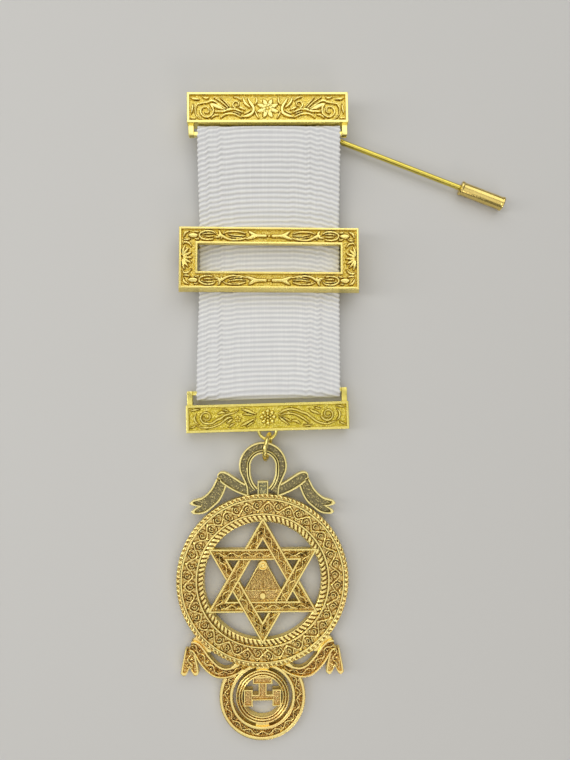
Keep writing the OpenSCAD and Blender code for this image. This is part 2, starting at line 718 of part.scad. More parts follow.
module bow_rims() {
    difference() {
        wing_outer();
        wing_outer(rim_w);
        polygon(WING_COVER * medal_r);
        circle(r = medal_r - bite, $fn = 96);
    }
    difference() {
        wing_inner();
        wing_inner(rim_w);
        circle(r = medal_r - bite, $fn = 96);
        loop_outline(loop_r - bite);
    }
}

module scroll_rims() {
    difference() {
        scroll_band();
        scroll_band(rim_w);
        circle(r = medal_r - bite, $fn = 96);
    }
}

// The tail comes out from behind the scroll's band
module tail_rims() {
    difference() {
        scroll_tail();
        scroll_tail(rim_w);
        scroll_band(2 * bite);
        circle(r = medal_r - bite, $fn = 96);
    }
}

module foot_rims() {
    difference() {
        union() {
            ring_2d(foot_r, foot_r - foot_rim);
            ring_2d(foot_in + foot_rim, foot_in);
        }
        translate([0, -foot_y]) circle(r = medal_r - bite, $fn = 96);
        translate([0, -foot_y]) mirrored() scroll_band(bite);
    }
    ring_2d(disc_r, disc_r - rim_w);
    ring_2d(disc_in + rim_w, disc_in);
    intersection() {
        circle(r = disc_in + bite, $fn = 96);
        difference() {
            triple_cross();
            triple_cross(cross_rim);
        }
    }
}

// Border of leaves and darts on the sunk band of the large ring
leaf_gap = 0.3;
leaf_half = 0.4;
module leaf_border() {
    r = (band_out + band_in) / 2;
    l = band_w - 2 * rim_w - leaf_gap;
    for (i = [0 : leaf_n - 1]) rotate(360 * i / leaf_n) {
        translate([r, 0])
                polygon([[-l / 2, 0], [-l / 5, -leaf_half], [l / 5, -leaf_half], [l / 2, 0], [l / 5, leaf_half],
                    [-l / 5, leaf_half]]);
        rotate(180 / leaf_n) translate([r, 0])
            polygon([[-l / 2, 0], [l / 6, -leaf_half / 2], [l / 2, 0], [l / 6, leaf_half / 2]]);
    }
}

module centre_relief() {
    top = 0.26 * star_r;
    line_y = -0.155 * star_r;
    for (a = [-20 : 10 : 20])
        translate([0, top]) rotate(a) translate([-0.1, line_y - top + 0.5]) square([0.2, 0.3 * star_r]);
    translate([-0.3 * star_r, line_y]) square([0.6 * star_r, 0.22]);
    translate([0, -0.255 * star_r]) circle(r = 0.06 * star_r, $fn = 20);
    translate([0, top - 0.3]) ring_2d(0.07 * star_r, 0.04 * star_r);
}

module medal() {
    color(MEDAL_GILT) translate([medal_off, medal_y + medal_foot, 0]) rotate([medal_tilt, 0, 0])
        translate([0, -medal_foot, 0]) {
            linear_extrude(plate_t) medal_plate();
            translate([0, 0, plate_t - bite]) {
                linear_extrude(rim_h + bite) ring_rims();
                linear_extrude(rim_h + bite) star_rims();
                linear_extrude(rim_h + bite) loop_rims();
                linear_extrude(rim_h + bite) mirrored() bow_rims();
                linear_extrude(rim_h + bite) mirrored() scroll_rims();
                linear_extrude(0.9 * rim_h + bite) mirrored() tail_rims();
                linear_extrude(rim_h + bite) translate([0, foot_y]) foot_rims();
                linear_extrude(rim_h * 0.8 + bite) leaf_border();
                linear_extrude(rim_h * 0.6 + bite) centre_relief();
            }
        }
}

top_bar();
pin();
pin_cap();
ribbon();
slide_frame();
lower_bar();
jump_ring();
medal();
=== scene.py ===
# %% [markdown]
# # A breast jewel of gilt brass on a white ribbed ribbon
#
# The jewel lies on its back on a pale table. It has a cast top bar with a brooch
# pin behind it, a ribbon with a slide, a lower bar, a jump ring and a pierced
# medal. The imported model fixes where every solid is. This script dresses those
# solids with finely chased metal and woven silk, in the same place.

# %% Load the fixed frame
import math

import bmesh
import bpy
import numpy as np
from mathutils import Matrix, Vector


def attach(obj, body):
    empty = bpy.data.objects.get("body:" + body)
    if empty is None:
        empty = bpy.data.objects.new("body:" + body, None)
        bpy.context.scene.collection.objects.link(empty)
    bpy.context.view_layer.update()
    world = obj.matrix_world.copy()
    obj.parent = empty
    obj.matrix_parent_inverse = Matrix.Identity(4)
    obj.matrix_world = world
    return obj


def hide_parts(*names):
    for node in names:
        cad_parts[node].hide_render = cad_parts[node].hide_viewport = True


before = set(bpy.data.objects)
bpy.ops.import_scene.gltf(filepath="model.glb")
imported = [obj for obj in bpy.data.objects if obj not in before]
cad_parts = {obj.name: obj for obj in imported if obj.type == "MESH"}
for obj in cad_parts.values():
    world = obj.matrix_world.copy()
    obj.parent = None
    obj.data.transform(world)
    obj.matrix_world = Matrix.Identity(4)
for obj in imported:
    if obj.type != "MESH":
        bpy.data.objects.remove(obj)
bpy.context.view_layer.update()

# %% [markdown]
# ## The camera
#
# The photograph was taken almost straight down, from 129 mm over the table, so
# the jewel's upper faces show with a little of their walls. One direction fixes
# the small tilt: the table's upright, as the camera sees it. The two directions
# along the table are square to it. The Standard view transform shows colours as
# they are, because the softer default can't reach the bright yellow of gilding.

# %% Camera at the photograph's place
MM = 0.001
PHOTO_HEIGHT = 760
FOCAL_PIXELS = 571
SENSOR = 36
CAMERA_AT = Vector((0.175, -68.002, 129)) * MM

table_up = Vector((17, 31, FOCAL_PIXELS)).normalized()
table_right = (Vector((1, 0, 0)) - table_up * table_up.x).normalized()
table_far = table_up.cross(table_right)
camera_data = bpy.data.cameras.new("camera")
camera_data.sensor_width = SENSOR
camera_data.lens = SENSOR * FOCAL_PIXELS / PHOTO_HEIGHT
camera_data.clip_start = 0.01
camera_data.clip_end = 20
camera = bpy.data.objects.new("camera", camera_data)
bpy.context.scene.collection.objects.link(camera)
camera.matrix_world = (Matrix.Translation(CAMERA_AT)
                       @ Matrix((table_right, table_far, table_up)).to_4x4())
bpy.context.scene.camera = camera
bpy.context.scene.view_settings.view_transform = "Standard"
print("camera tilts by", round(math.degrees(table_up.angle(Vector((0, 0, 1)))), 2), "degrees")

# %% [markdown]
# ## Helpers for fine metal
#
# Every cast face here is low relief: rims, leaves and pebbled ground a few
# tenths of a millimetre high. Such a face is made like chasing. A grid is laid
# over it, and each of its points is set to the height that the pattern has
# there. Then the grid's open edge is extruded down to make the walls, and the
# back is closed. A ring's grid has three rows more instead: they become the
# feet of both walls and the back between them. Each mesh also keeps how deep
# each point lies, as "recess", so that the gilding can be darker in the hollows, as painted shade.

# %% A ruler whose steps are finer at the marks
def ruled(marks, step):
    """Positions through every mark, with the long stretches cut into even steps."""
    places = [marks[0]]
    for low, high in zip(marks, marks[1:]):
        count = max(1, math.ceil((high - low) / step - 1e-6))
        places += [low + (high - low) * k / count for k in range(1, count + 1)]
    return np.array(places)


def both_ways(low, high, marks):
    """The marks measured inwards from both ends."""
    return [low + m for m in marks] + [high - m for m in reversed(marks)]


print("ruler of 3 marks:", ruled([0, 0.5, 2], 0.5))

# %% A grid that is chased, walled and closed
def relief_grid(us, vs, shape, behind, ring=False, hole=None):
    """A bmesh in millimetres. shape(u, v) gives x, y, z and recess of each point, and
    behind(point) gives the place of a wall's foot under an edge point. hole(point) is true
    where a face is taken out."""
    bm = bmesh.new()
    depth = bm.verts.layers.float.new("recess")
    if ring:
        vs = np.array([vs[0], *vs, vs[-1], vs[0]])
    bmesh.ops.create_grid(bm, x_segments=len(us) - 1, y_segments=len(vs) - 1, size=0.5)
    place = np.array([v.co[:2] for v in bm.verts]) + 0.5
    row = place[:, 1] * (len(vs) - 1)
    u = np.interp(place[:, 0] * (len(us) - 1), range(len(us)), us)
    v = np.interp(row, range(len(vs)), vs)
    below = ring & ((row < 0.5) | (row > len(vs) - 2.5))
    for vert, (x, y, z, r), low in zip(bm.verts, np.stack(shape(u, v), axis=1).tolist(), below):
        vert.co = behind(Vector((x, y, z))) if low else (x, y, z)
        vert[depth] = r
    if hole is not None:
        gone = [f for f in bm.faces if hole(f.calc_center_median())]
        bmesh.ops.delete(bm, geom=gone, context="FACES")
    if ring:
        bmesh.ops.remove_doubles(bm, verts=[v for v in bm.verts if v.is_boundary], dist=1e-4)
        bmesh.ops.recalc_face_normals(bm, faces=bm.faces)
        return bm
    rim = [e for e in bm.edges if e.is_boundary]
    made = bmesh.ops.extrude_edge_only(bm, edges=rim)["geom"]
    for vert in (g for g in made if isinstance(g, bmesh.types.BMVert)):
        vert.co = behind(vert.co)
    foot = [g for g in made if isinstance(g, bmesh.types.BMEdge) and g.is_boundary]
    if hole is not None:
        bmesh.ops.bridge_loops(bm, edges=foot)
    else:
        bmesh.ops.edgeloop_fill(bm, edges=foot)
    bmesh.ops.recalc_face_normals(bm, faces=bm.faces)
    return bm


def foot_at(z):
    """The foot of an upright wall."""
    return lambda p: (p.x, p.y, z)


print("grids are ready")

# %% Blocks, turned parts and rings
def block(low, high, soft=0.12):
    """A block between two corners, in millimetres, with its edges broken."""
    bm = bmesh.new()
    size = Vector(high) - Vector(low)
    bmesh.ops.create_cube(bm, size=1)
    bmesh.ops.scale(bm, vec=size, verts=bm.verts)
    bmesh.ops.translate(bm, vec=(Vector(high) + Vector(low)) / 2, verts=bm.verts)
    bmesh.ops.bevel(bm, geom=bm.edges[:], offset=soft, offset_type="OFFSET", segments=3,
                    profile=0.5, affect="EDGES", material=-1)
    return bm


def turned(profile, steps=48):
    """A part turned on a lathe: profile is [radius, height along +Z] and ends on the axis."""
    bm = bmesh.new()
    line = [bm.verts.new((r, 0, h)) for r, h in profile]
    edges = [bm.edges.new(pair) for pair in zip(line, line[1:])]
    bmesh.ops.spin(bm, geom=line + edges, cent=(0, 0, 0), axis=(0, 0, 1), angle=2 * math.pi,
                   steps=steps, use_merge=True)
    bmesh.ops.remove_doubles(bm, verts=bm.verts, dist=1e-5)
    bmesh.ops.recalc_face_normals(bm, faces=bm.faces)
    return bm


def wire_ring(middle, wire, angle=2 * math.pi, steps=72):
    """Round wire bent in the XY plane, closed if the angle is a full turn."""
    bm = bmesh.new()
    closed = angle > 6.28
    bmesh.ops.create_circle(bm, segments=20, radius=wire / 2, cap_ends=not closed)
    bmesh.ops.rotate(bm, matrix=Matrix.Rotation(math.pi / 2, 3, "X"), verts=bm.verts)
    bmesh.ops.translate(bm, vec=(middle, 0, 0), verts=bm.verts)
    geom = bm.verts[:] + bm.edges[:] + bm.faces[:]
    bmesh.ops.spin(bm, geom=geom, cent=(0, 0, 0), axis=(0, 0, 1), angle=angle, steps=steps,
                   use_merge=closed)
    bmesh.ops.recalc_face_normals(bm, faces=bm.faces)
    return bm


print("blocks, turned parts and rings are ready")

# %% Joining parts into one finished piece
def placed(bm, matrix):
    """The same bmesh, laid in its place."""
    bmesh.ops.transform(bm, matrix=matrix, verts=bm.verts)
    return bm


def piece(name, parts, material, body, node, sharp=38):
    """Joins parts that are in millimetres, in the jewel's frame, into one object at the
    origin. Edges that bend by more than the sharp angle, in degrees, aren't smoothed."""
    whole = bmesh.new()
    whole.verts.layers.float.new("recess")
    for part in parts:
        mesh = bpy.data.meshes.new("part")
        part.to_mesh(mesh)
        part.free()
        whole.from_mesh(mesh)
        bpy.data.meshes.remove(mesh)
    bmesh.ops.scale(whole, vec=(MM, MM, MM), verts=whole.verts)
    mesh = bpy.data.meshes.new(name)
    whole.to_mesh(mesh)
    whole.free()
    mesh.polygons.foreach_set("use_smooth", np.ones(len(mesh.polygons), bool))
    mesh.set_sharp_from_angle(angle=math.radians(sharp))
    mesh.materials.append(material)
    made = bpy.data.objects.new(name, mesh)
    bpy.context.scene.collection.objects.link(made)
    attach(made, body)
    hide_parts(node)
    triangles = sum(len(p.vertices) - 2 for p in mesh.polygons)
    print(f"{name}: {triangles} triangles")
    return made


# %% [markdown]
# ## Profiles and chased lines
#
# A rim is a strip with rounded edges, so its height depends only on how far a
# point lies from the face's edge. A cord is a rounded bar with slanted gaps.
#
# A chased leaf is a rounded ridge that swells and thins along a curved line. The
# line is a smooth curve through a few rows of x, y and half width. The height at
# any point of the face comes from its distance to that line. Beside a ridge the
# tool has cut in: the height is below 0 there, which leaves the mesh level and
# tells the gilding where to paint the shade of that cut.

# %% Heights of edges, rims and cords
def eased(t):
    """A soft step from 0 to 1 while t goes from 0 to 1."""
    t = np.clip(t, 0, 1)
    return t * t * (3 - 2 * t)


def fallen(d, r):
    """How far a rounded edge of radius r has dropped at a distance d from the edge."""
    c = np.clip(1 - d / r, 0, 1)
    return r * (1 - np.sqrt(1 - c * c))


def rim_height(d, width, high, r=0.11, wall=0.07):
    """Height of a raised rim at a distance d inside its outer edge."""
    on_top = high - fallen(np.minimum(d, width - d), r)
    return np.where(d < width, on_top, (high - r) * np.clip(1 - (d - width) / wall, 0, 1))


def cord_height(along, across, width, pitch, high):
    """A cord of slanted bars. along and across are in millimetres from its middle line, and
    the gaps between the bars close towards its inner side."""
    crown = np.sqrt(np.clip(1 - (2 * across / width) ** 2, 0, 1)) ** 0.6
    slant = np.abs(np.sin(math.pi * (along - 0.55 * across) / pitch))
    gap = 1 - eased((slant - 0.2) / 0.4)
    gap = gap * eased((across + width / 2 - 0.12) / 0.25)
    return high * crown * (1 - 0.8 * gap), gap


def pitted_height(along, across, width, pitch, high):
    """A rounded border with slanted strands and a pit between every two of them."""
    crown = np.sqrt(np.clip(1 - (2 * across / width) ** 2, 0, 1)) ** 0.5
    c = ((along - 0.5 * across) / pitch % 1 - 0.5) * pitch
    pit = np.exp(-((c / 0.2) ** 2) - ((across + 0.05) / 0.26) ** 2)
    strand = np.exp(-((c / 0.13) ** 2)) * (across > 0)
    return high * crown * (1 - 0.5 * pit - 0.2 * strand), np.clip(pit + 0.3 * strand, 0, 1)


print("a rim 0.5 mm high at its middle:", rim_height(np.array([0.29]), 0.58, 0.5))

# %% Heights of chased lines
CUT_WIDTH = 0.16


def smooth_rows(rows, n=8):
    """A smooth curve through rows of x, y and half width."""
    rows = np.array(rows, float)
    last = len(rows) - 1
    out = []
    for i in range(last):
        a, b, c, d = rows[max(i - 1, 0)], rows[i], rows[i + 1], rows[min(i + 2, last)]
        for t in np.arange(n) / n:
            out.append(0.5 * (2 * b + (c - a) * t + (2 * a - 5 * b + 4 * c - d) * t * t
                              + (3 * b - a - 3 * c + d) * t ** 3))
    return np.array(out + [rows[-1]])


def chased(x, y, lines, vein=0.0):
    """Height from 0 to 1 of rounded ridges along the lines, with a vein down the wide ones.
    Close beside a ridge it falls from 0 to -1, which marks where the chaser's tool cut in
    and where the gilding paints shade."""
    high, cut_in = np.zeros_like(x), np.zeros_like(x)
    for rows in lines:
        line = smooth_rows(rows)
        line[:, 2] = np.maximum(line[:, 2], 0.05)
        far = line[:, 2].max() + CUT_WIDTH
        near = ((x > line[:, 0].min() - far) & (x < line[:, 0].max() + far)
                & (y > line[:, 1].min() - far) & (y < line[:, 1].max() + far))
        px, py, best, beside = x[near], y[near], high[near], cut_in[near]
        for (ax, ay, aw), (bx, by, bw) in zip(line, line[1:]):
            dx, dy = bx - ax, by - ay
            t = np.clip(((px - ax) * dx + (py - ay) * dy) / (dx * dx + dy * dy + 1e-12), 0, 1)
            w = aw + (bw - aw) * t
            q = np.hypot(px - ax - dx * t, py - ay - dy * t) / w
            ridge = np.sqrt(np.clip(1 - q ** 4, 0, 1)) * (0.75 + 0.25 * np.minimum(w / 0.3, 1))
            groove = vein * np.exp(-((q * w / 0.075) ** 2)) * np.clip((w - 0.2) / 0.2, 0, 1)
            best = np.maximum(best, ridge - groove)
            beside = np.maximum(beside, 1 - (q - 1) * w / CUT_WIDTH)
        high[near], cut_in[near] = best, beside
    return np.where(high > 0, high, -np.clip(cut_in, 0, 1))


def laid_over(under, over):
    """One chased height with another one laid on top of it."""
    cut = np.where(under > 0, under, over)
    return np.where(over > np.maximum(under, 0), over, np.where(over < 0, cut, under))


print("across a straight ridge:",
      chased(np.array([0.0, 0.2, 0.35]), np.zeros(3), [[[0, -1, 0.3], [0, 1, 0.3]]]).round(2))

# %% Stems, spirals and mirrored lines
def waving_stem(s, out, bay, reach, w, lines):
    """A stem that waves along a band. s and out are millimetres along and across the band. Each
    bay between two crossings holds the lines, and they are turned over in every second bay."""
    n = np.floor(s / bay + 1e-9)
    t, o = (s / bay - n - 0.5) * bay, np.where(n % 2 == 0, out, -out)
    bend = math.pi / bay
    steep = np.sqrt(1 + (reach * bend * np.sin(bend * t)) ** 2)
    q = abs(o - reach * np.cos(bend * t)) / steep / w
    ridge = np.sqrt(np.clip(1 - q ** 4, 0, 1))
    stem = np.where(q < 1, ridge, -np.clip(1 - (q - 1) * w / CUT_WIDTH, 0, 1))
    return laid_over(chased(t, o, lines), stem)


def volute(x, y, r_out, r_in, start, turn, w):
    """Rows of a spiral that winds inwards round a point. Angles in degrees."""
    steps = max(4, round(abs(turn) / 30))
    t = np.linspace(0, 1, steps + 1)
    r, a = r_out + (r_in - r_out) * t, np.radians(start + turn * t)
    return [[x + rr * math.cos(aa), y + rr * math.sin(aa), w * (1 - 0.35 * tt)]
            for rr, aa, tt in zip(r, a, t)]


def mirrored_lines(lines):
    """The lines of a left half with those of the right half."""
    return lines + [[[-r[0], *r[1:]] for r in rows] for rows in lines]


print("a volute of one turn has", len(volute(0, 0, 1, 0.3, 0, 360, 0.2)), "rows")

# %% [markdown]
# ## Gilding
#
# The metal is brass, cast and then gilt. Polished gilding is a warm yellow that
# reddens where light bounces between walls, so the hollows are given a deeper,
# browner colour as painted shade, and a rougher surface. The ground between the
# ornament was matted with a small punch, and a bump of round cells about a third
# of a millimetre across stands for it; each cell also gets a painted highlight in
# its middle and painted shade at its edge. The gilding is thinner in patches, and
# painted shade lies where the chaser's tool cut in beside a ridge. One function
# makes all of it, and each casting gets its own colours. Wire and turned parts
# have no punched ground. Colours are read as sRGB and turned to linear by one
# function.

# %% Colour and node helpers
def linear(code):
    """An sRGB hex colour as linear red, green, blue and alpha."""
    parts = [int(code[i:i + 2], 16) / 255 for i in (1, 3, 5)]
    return (*(c / 12.92 if c <= 0.04045 else ((c + 0.055) / 1.055) ** 2.4 for c in parts), 1.0)


def add_node(tree, kind, settings=None, inputs=None):
    """A node with its settings, and its inputs as values or as links from other sockets."""
    new = tree.nodes.new(kind)
    for key, value in (settings or {}).items():
        setattr(new, key, value)
    for key, value in (inputs or {}).items():
        if isinstance(value, bpy.types.NodeSocket):
            tree.links.new(value, new.inputs[key])
        else:
            new.inputs[key].default_value = value
    return new


def fresh_material(name):
    """An empty material and its node tree."""
    material = bpy.data.materials.new(name)
    material.use_nodes = True
    material.node_tree.nodes.clear()
    return material, material.node_tree


print("gold yellow in linear light:", [round(c, 3) for c in linear("#F2D06B")[:3]])

# %% Cast brass with a gilt finish
# the colour of the painted shade beside each ridge, where the chaser's tool cut in
GROOVE_SHADE = "#8C5F1E"


def gilt_brass(name, bright, hollow, blush, smooth=0.2, matt=0.42,
               punch_mm=0.36, punch=0.8, grain=0.12):
    """bright is the colour of the crests, hollow that of the matted ground and hollows, a
    browner painted shade, and blush that of the patches where the gilding is thin. smooth
    and matt are the roughness of crests and ground, punch_mm is the size of a punched cell,
    and punch and grain are the strengths of both bumps."""
    material, tree = fresh_material(name)
    place = add_node(tree, "ShaderNodeTexCoord").outputs["Object"]
    recess = add_node(tree, "ShaderNodeAttribute", {"attribute_name": "recess"}).outputs["Fac"]
    # patches of thinner gilding, about 5 mm across
    patches = add_node(tree, "ShaderNodeTexNoise", {},
                       {"Vector": place, "Scale": 1 / (5 * MM), "Detail": 3.0})
    thin = add_node(tree, "ShaderNodeMapRange", {},
                    {"Value": patches.outputs["Fac"], "From Min": 0.42, "From Max": 0.68,
                     "To Max": 0.6})
    # the punched ground: a painted highlight in the middle of each cell and painted shade between
    # the cells
    cells = add_node(tree, "ShaderNodeTexVoronoi", {"feature": "SMOOTH_F1"},
                     {"Vector": place, "Scale": 1 / (punch_mm * MM), "Smoothness": 0.25})
    between = add_node(tree, "ShaderNodeMapRange", {},
                       {"Value": cells.outputs["Distance"], "From Min": 0.2, "From Max": 0.6,
                        "To Min": 0.35, "To Max": 1.15})
    ground = add_node(tree, "ShaderNodeMath", {"operation": "MULTIPLY"},
                      {0: between.outputs[0], 1: recess})
    # mottling of the whole face, about half a millimetre
    mottle = add_node(tree, "ShaderNodeTexNoise", {},
                      {"Vector": place, "Scale": 1 / (0.5 * MM), "Detail": 4.0})
    depth = add_node(tree, "ShaderNodeMath", {"operation": "MULTIPLY_ADD"},
                     {0: mottle.outputs["Fac"], 1: 0.7, 2: -0.35})
    deep = add_node(tree, "ShaderNodeMath", {"operation": "ADD", "use_clamp": True},
                    {0: ground.outputs[0], 1: depth.outputs[0]})
    crest = add_node(tree, "ShaderNodeMix", {"data_type": "RGBA"},
                     {"Factor": thin.outputs[0], 6: linear(bright), 7: linear(blush)})
    gilt = add_node(tree, "ShaderNodeMix", {"data_type": "RGBA"},
                    {"Factor": deep.outputs[0], 6: crest.outputs[2], 7: linear(hollow)})
    # painted shade in the groove beside a ridge, where the chaser's tool cut in
    groove_shade = add_node(tree, "ShaderNodeMapRange", {},
                    {"Value": recess, "From Min": 1.0, "From Max": 1.8, "To Max": 0.85})
    colour = add_node(tree, "ShaderNodeMix", {"data_type": "RGBA"},
                      {"Factor": groove_shade.outputs[0], 6: gilt.outputs[2], 7: linear(GROOVE_SHADE)})
    # fine scuffs change the gloss at about a millimetre
    scuffs = add_node(tree, "ShaderNodeTexNoise", {},
                      {"Vector": place, "Scale": 1 / (1.1 * MM), "Detail": 5.0})
    gloss = add_node(tree, "ShaderNodeMapRange", {},
                     {"Value": deep.outputs[0], "To Min": smooth, "To Max": matt})
    rough = add_node(tree, "ShaderNodeMath", {"operation": "MULTIPLY_ADD"},
                     {0: scuffs.outputs["Fac"], 1: 0.16, 2: gloss.outputs[0]})
    dots = add_node(tree, "ShaderNodeMath", {"operation": "MULTIPLY"},
                    {0: cells.outputs["Distance"], 1: recess})
    punched = add_node(tree, "ShaderNodeBump", {"invert": True},
                       {"Strength": punch, "Distance": 0.2 * MM, "Height": dots.outputs[0]})
    # the skin of the casting, drawn at 0.16 mm so that it still shows
    skin = add_node(tree, "ShaderNodeTexNoise", {},
                    {"Vector": place, "Scale": 1 / (0.16 * MM), "Detail": 2.0})
    cast = add_node(tree, "ShaderNodeBump", {},
                    {"Strength": grain, "Distance": 0.04 * MM, "Height": skin.outputs["Fac"],
                     "Normal": punched.outputs[0]})
    shader = add_node(tree, "ShaderNodeBsdfPrincipled", {},
                      {"Base Color": colour.outputs[2], "Metallic": 1.0,
                       "Roughness": rough.outputs[0], "Normal": cast.outputs[0]})
    add_node(tree, "ShaderNodeOutputMaterial", {}, {"Surface": shader.outputs[0]})
    return material


bright_gilding = gilt_brass("bright gilt cast brass", "#FCED95", "#E5CB59", "#F9E686")
slide_gilding = gilt_brass("deep gilt cast brass", "#F9E78E", "#CEAF3F", "#F3DA76")
yellow_gilding = gilt_brass("yellow gilt cast brass", "#F6E786", "#CEBA3F", "#EDDB6F")
print("three gildings for the bars and the slide")

# %% [markdown]
# ## The cast bars
#
# Each bar is a shallow tray: a raised rim round a matted ground, with a
# foliate scroll standing on it. Two lugs and a square rod hold the ribbon
# at one long side. The face is one chased grid, and the rest are plain blocks
# with broken edges, as a file would leave them.

# %% Sizes of the bars
BAR_LENGTH, BAR_THICK, BAR_RIM, SUNK, RELIEF = 35.8, 3.0, 0.58, 0.5, 0.46
LUG_WIDTH, LUG_IN, LUG_THICK, ROD = 1.2, 0.2, 1.6, 0.9
RIM_MARKS = [0, 0.03, 0.07, 0.11]


def marks_across(length, rim):
    """Marks of a face between two rims, measured from its middle."""
    edge = RIM_MARKS + [rim - 0.11, rim - 0.05, rim, rim + 0.07]
    return both_ways(-length / 2, length / 2, edge)


def matted_recess(ridge):
    """Recess of a bar's or the slide's face: 0 on high crests, 0.85 on the open ground, and
    more where the tool cut in beside a ridge."""
    return np.where(ridge > 0, np.clip(1.1 - ridge * 1.6, 0, 1), 0.85 - 0.9 * ridge)


print("bar face", BAR_LENGTH, "mm long")

# %% One bar with its lugs and rod
def cast_bar(height, side, reach, lines, flower):
    """side is -1 where the rod lies below the bar and +1 where it lies above."""
    half = (BAR_LENGTH / 2, height / 2)

    def face(x, y):
        d = np.minimum(half[0] - abs(x), half[1] - abs(y))
        ridge = laid_over(chased(x, y, lines, 0.35), flower(x, y))
        swell = 0.05 * np.sin(x * 2.1) * np.sin(y * 2.6 + x)
        inside = np.where(d > BAR_RIM + 0.07, np.where(ridge > 0, RELIEF * ridge, swell), 0)
        up = np.maximum(rim_height(d, BAR_RIM, SUNK), inside)
        return x, y, BAR_THICK - SUNK + up, np.where(d < BAR_RIM, 0, matted_recess(ridge))

    us = ruled(marks_across(BAR_LENGTH, BAR_RIM), 0.09)
    vs = ruled(marks_across(height, BAR_RIM), 0.09)
    parts = [relief_grid(us, vs, face, foot_at(0))]
    y_rod = side * (height / 2 + reach)
    z_lug = (BAR_THICK - LUG_THICK) / 2
    y0, y1 = sorted((side * (half[1] - 0.4), y_rod + side * ROD / 2))
    for s in (-1, 1):
        x0, x1 = sorted((s * (half[0] - LUG_IN - LUG_WIDTH), s * (half[0] - LUG_IN)))
        parts.append(block((x0, y0, z_lug), (x1, y1, z_lug + LUG_THICK), 0.08))
    rod_half = half[0] - LUG_IN - 0.1
    parts.append(block((-rod_half, y_rod - ROD / 2, BAR_THICK / 2 - ROD / 2),
                       (rod_half, y_rod + ROD / 2, BAR_THICK / 2 + ROD / 2), 0.07))
    return parts


def petals(x, y, count, far, size, turn=0.0):
    """Round petals in a ring, each a little dome."""
    high = np.zeros_like(x)
    for k in range(count):
        a = 2 * math.pi * (k + turn) / count
        q = np.hypot(x - far * math.cos(a), y - far * math.sin(a)) / size
        high = np.maximum(high, np.sqrt(np.clip(1 - q * q, 0, 1)))
    return high


print("a bar has a face, two lugs and a rod")

# %% The top bar's scroll
TOP_SCROLL = [
    volute(-13.7, -0.75, 1.75, 0.35, 50, -540, 0.2),
    volute(-13.7, -0.75, 2.45, 2.2, 135, 120, 0.16),
    # bright stroke over the volute, and the smooth leaf under it
    [[-15.6, 0.75, 0.12], [-14.4, 1.05, 0.17], [-13.3, 1.25, 0.22], [-12.4, 1.6, 0.24],
     [-11.5, 1.25, 0.2], [-10.6, 0.6, 0.18], [-9.4, -0.2, 0.14]],
    [[-12.7, 0.75, 0.16], [-12.0, 0.6, 0.46], [-11.1, 0.2, 0.5], [-10.2, -0.2, 0.28],
     [-9.5, -0.5, 0.12]],
    [[-11.7, -0.95, 0.12], [-10.8, -0.85, 0.22], [-9.8, -0.85, 0.26], [-9.0, -0.6, 0.16]],
    # two stems side by side
    [[-11.9, 2.35, 0.12], [-10.9, 1.75, 0.16], [-9.9, 1.0, 0.17], [-8.9, 0.0, 0.16]],
    [[-10.5, 2.35, 0.1], [-9.6, 1.5, 0.15], [-8.9, 0.75, 0.15], [-8.3, 0.0, 0.12]],
    # knot and the strokes below it
    [[-8.9, -0.5, 0.34], [-8.2, -0.35, 0.26]],
    [[-10.4, -2.25, 0.14], [-9.6, -1.6, 0.2], [-8.6, -1.35, 0.22], [-7.5, -1.45, 0.2],
     [-6.6, -1.85, 0.17], [-5.9, -2.25, 0.12]],
    [[-8.2, -0.45, 0.16], [-7.3, -0.4, 0.2], [-6.5, -0.7, 0.22], [-5.6, -1.1, 0.14]],
    [[-7.6, -0.95, 0.12], [-6.8, -1.15, 0.15], [-6.1, -1.5, 0.12]],
    # hook and small leaf
    volute(-6.95, 0.75, 0.9, 0.4, 250, -330, 0.2),
    [[-6.4, 0.05, 0.12], [-5.8, -0.1, 0.27], [-5.1, -0.5, 0.12]],
    # bright S-shaped leaf beside the flower, with its lobes
    [[-5.5, 2.25, 0.14], [-5.2, 1.4, 0.28], [-4.7, 0.7, 0.3], [-4.0, 0.1, 0.16]],
    [[-4.4, 2.1, 0.14], [-3.9, 1.25, 0.32], [-3.35, 0.4, 0.36], [-3.15, -0.5, 0.34],
     [-3.5, -1.3, 0.36], [-4.4, -1.8, 0.36], [-5.5, -2.1, 0.16]],
    [[-5.2, -1.35, 0.12], [-4.5, -1.1, 0.2], [-3.9, -0.7, 0.14]],
    [[-2.5, 2.3, 0.1], [-2.4, 1.5, 0.22], [-2.8, 0.8, 0.14]],
    [[-2.1, -2.35, 0.12], [-2.5, -1.6, 0.2], [-2.8, -0.9, 0.12]],
    # fillers in the corners
    [[-17.0, 2.2, 0.1], [-16.2, 2.0, 0.24], [-15.2, 1.9, 0.12]],
    [[-16.9, -1.3, 0.1], [-16.7, -0.3, 0.2], [-16.6, 0.8, 0.1]],
    [[-17.0, -2.4, 0.12], [-16.2, -2.4, 0.18]],
    [[-12.6, -2.45, 0.1], [-11.9, -1.8, 0.2], [-11.0, -1.7, 0.1]],
    [[-14.4, 2.45, 0.1], [-13.6, 2.15, 0.2], [-13.0, 2.3, 0.1]],
    [[-7.5, 2.45, 0.1], [-6.6, 2.2, 0.2], [-6.0, 1.7, 0.12]],
]


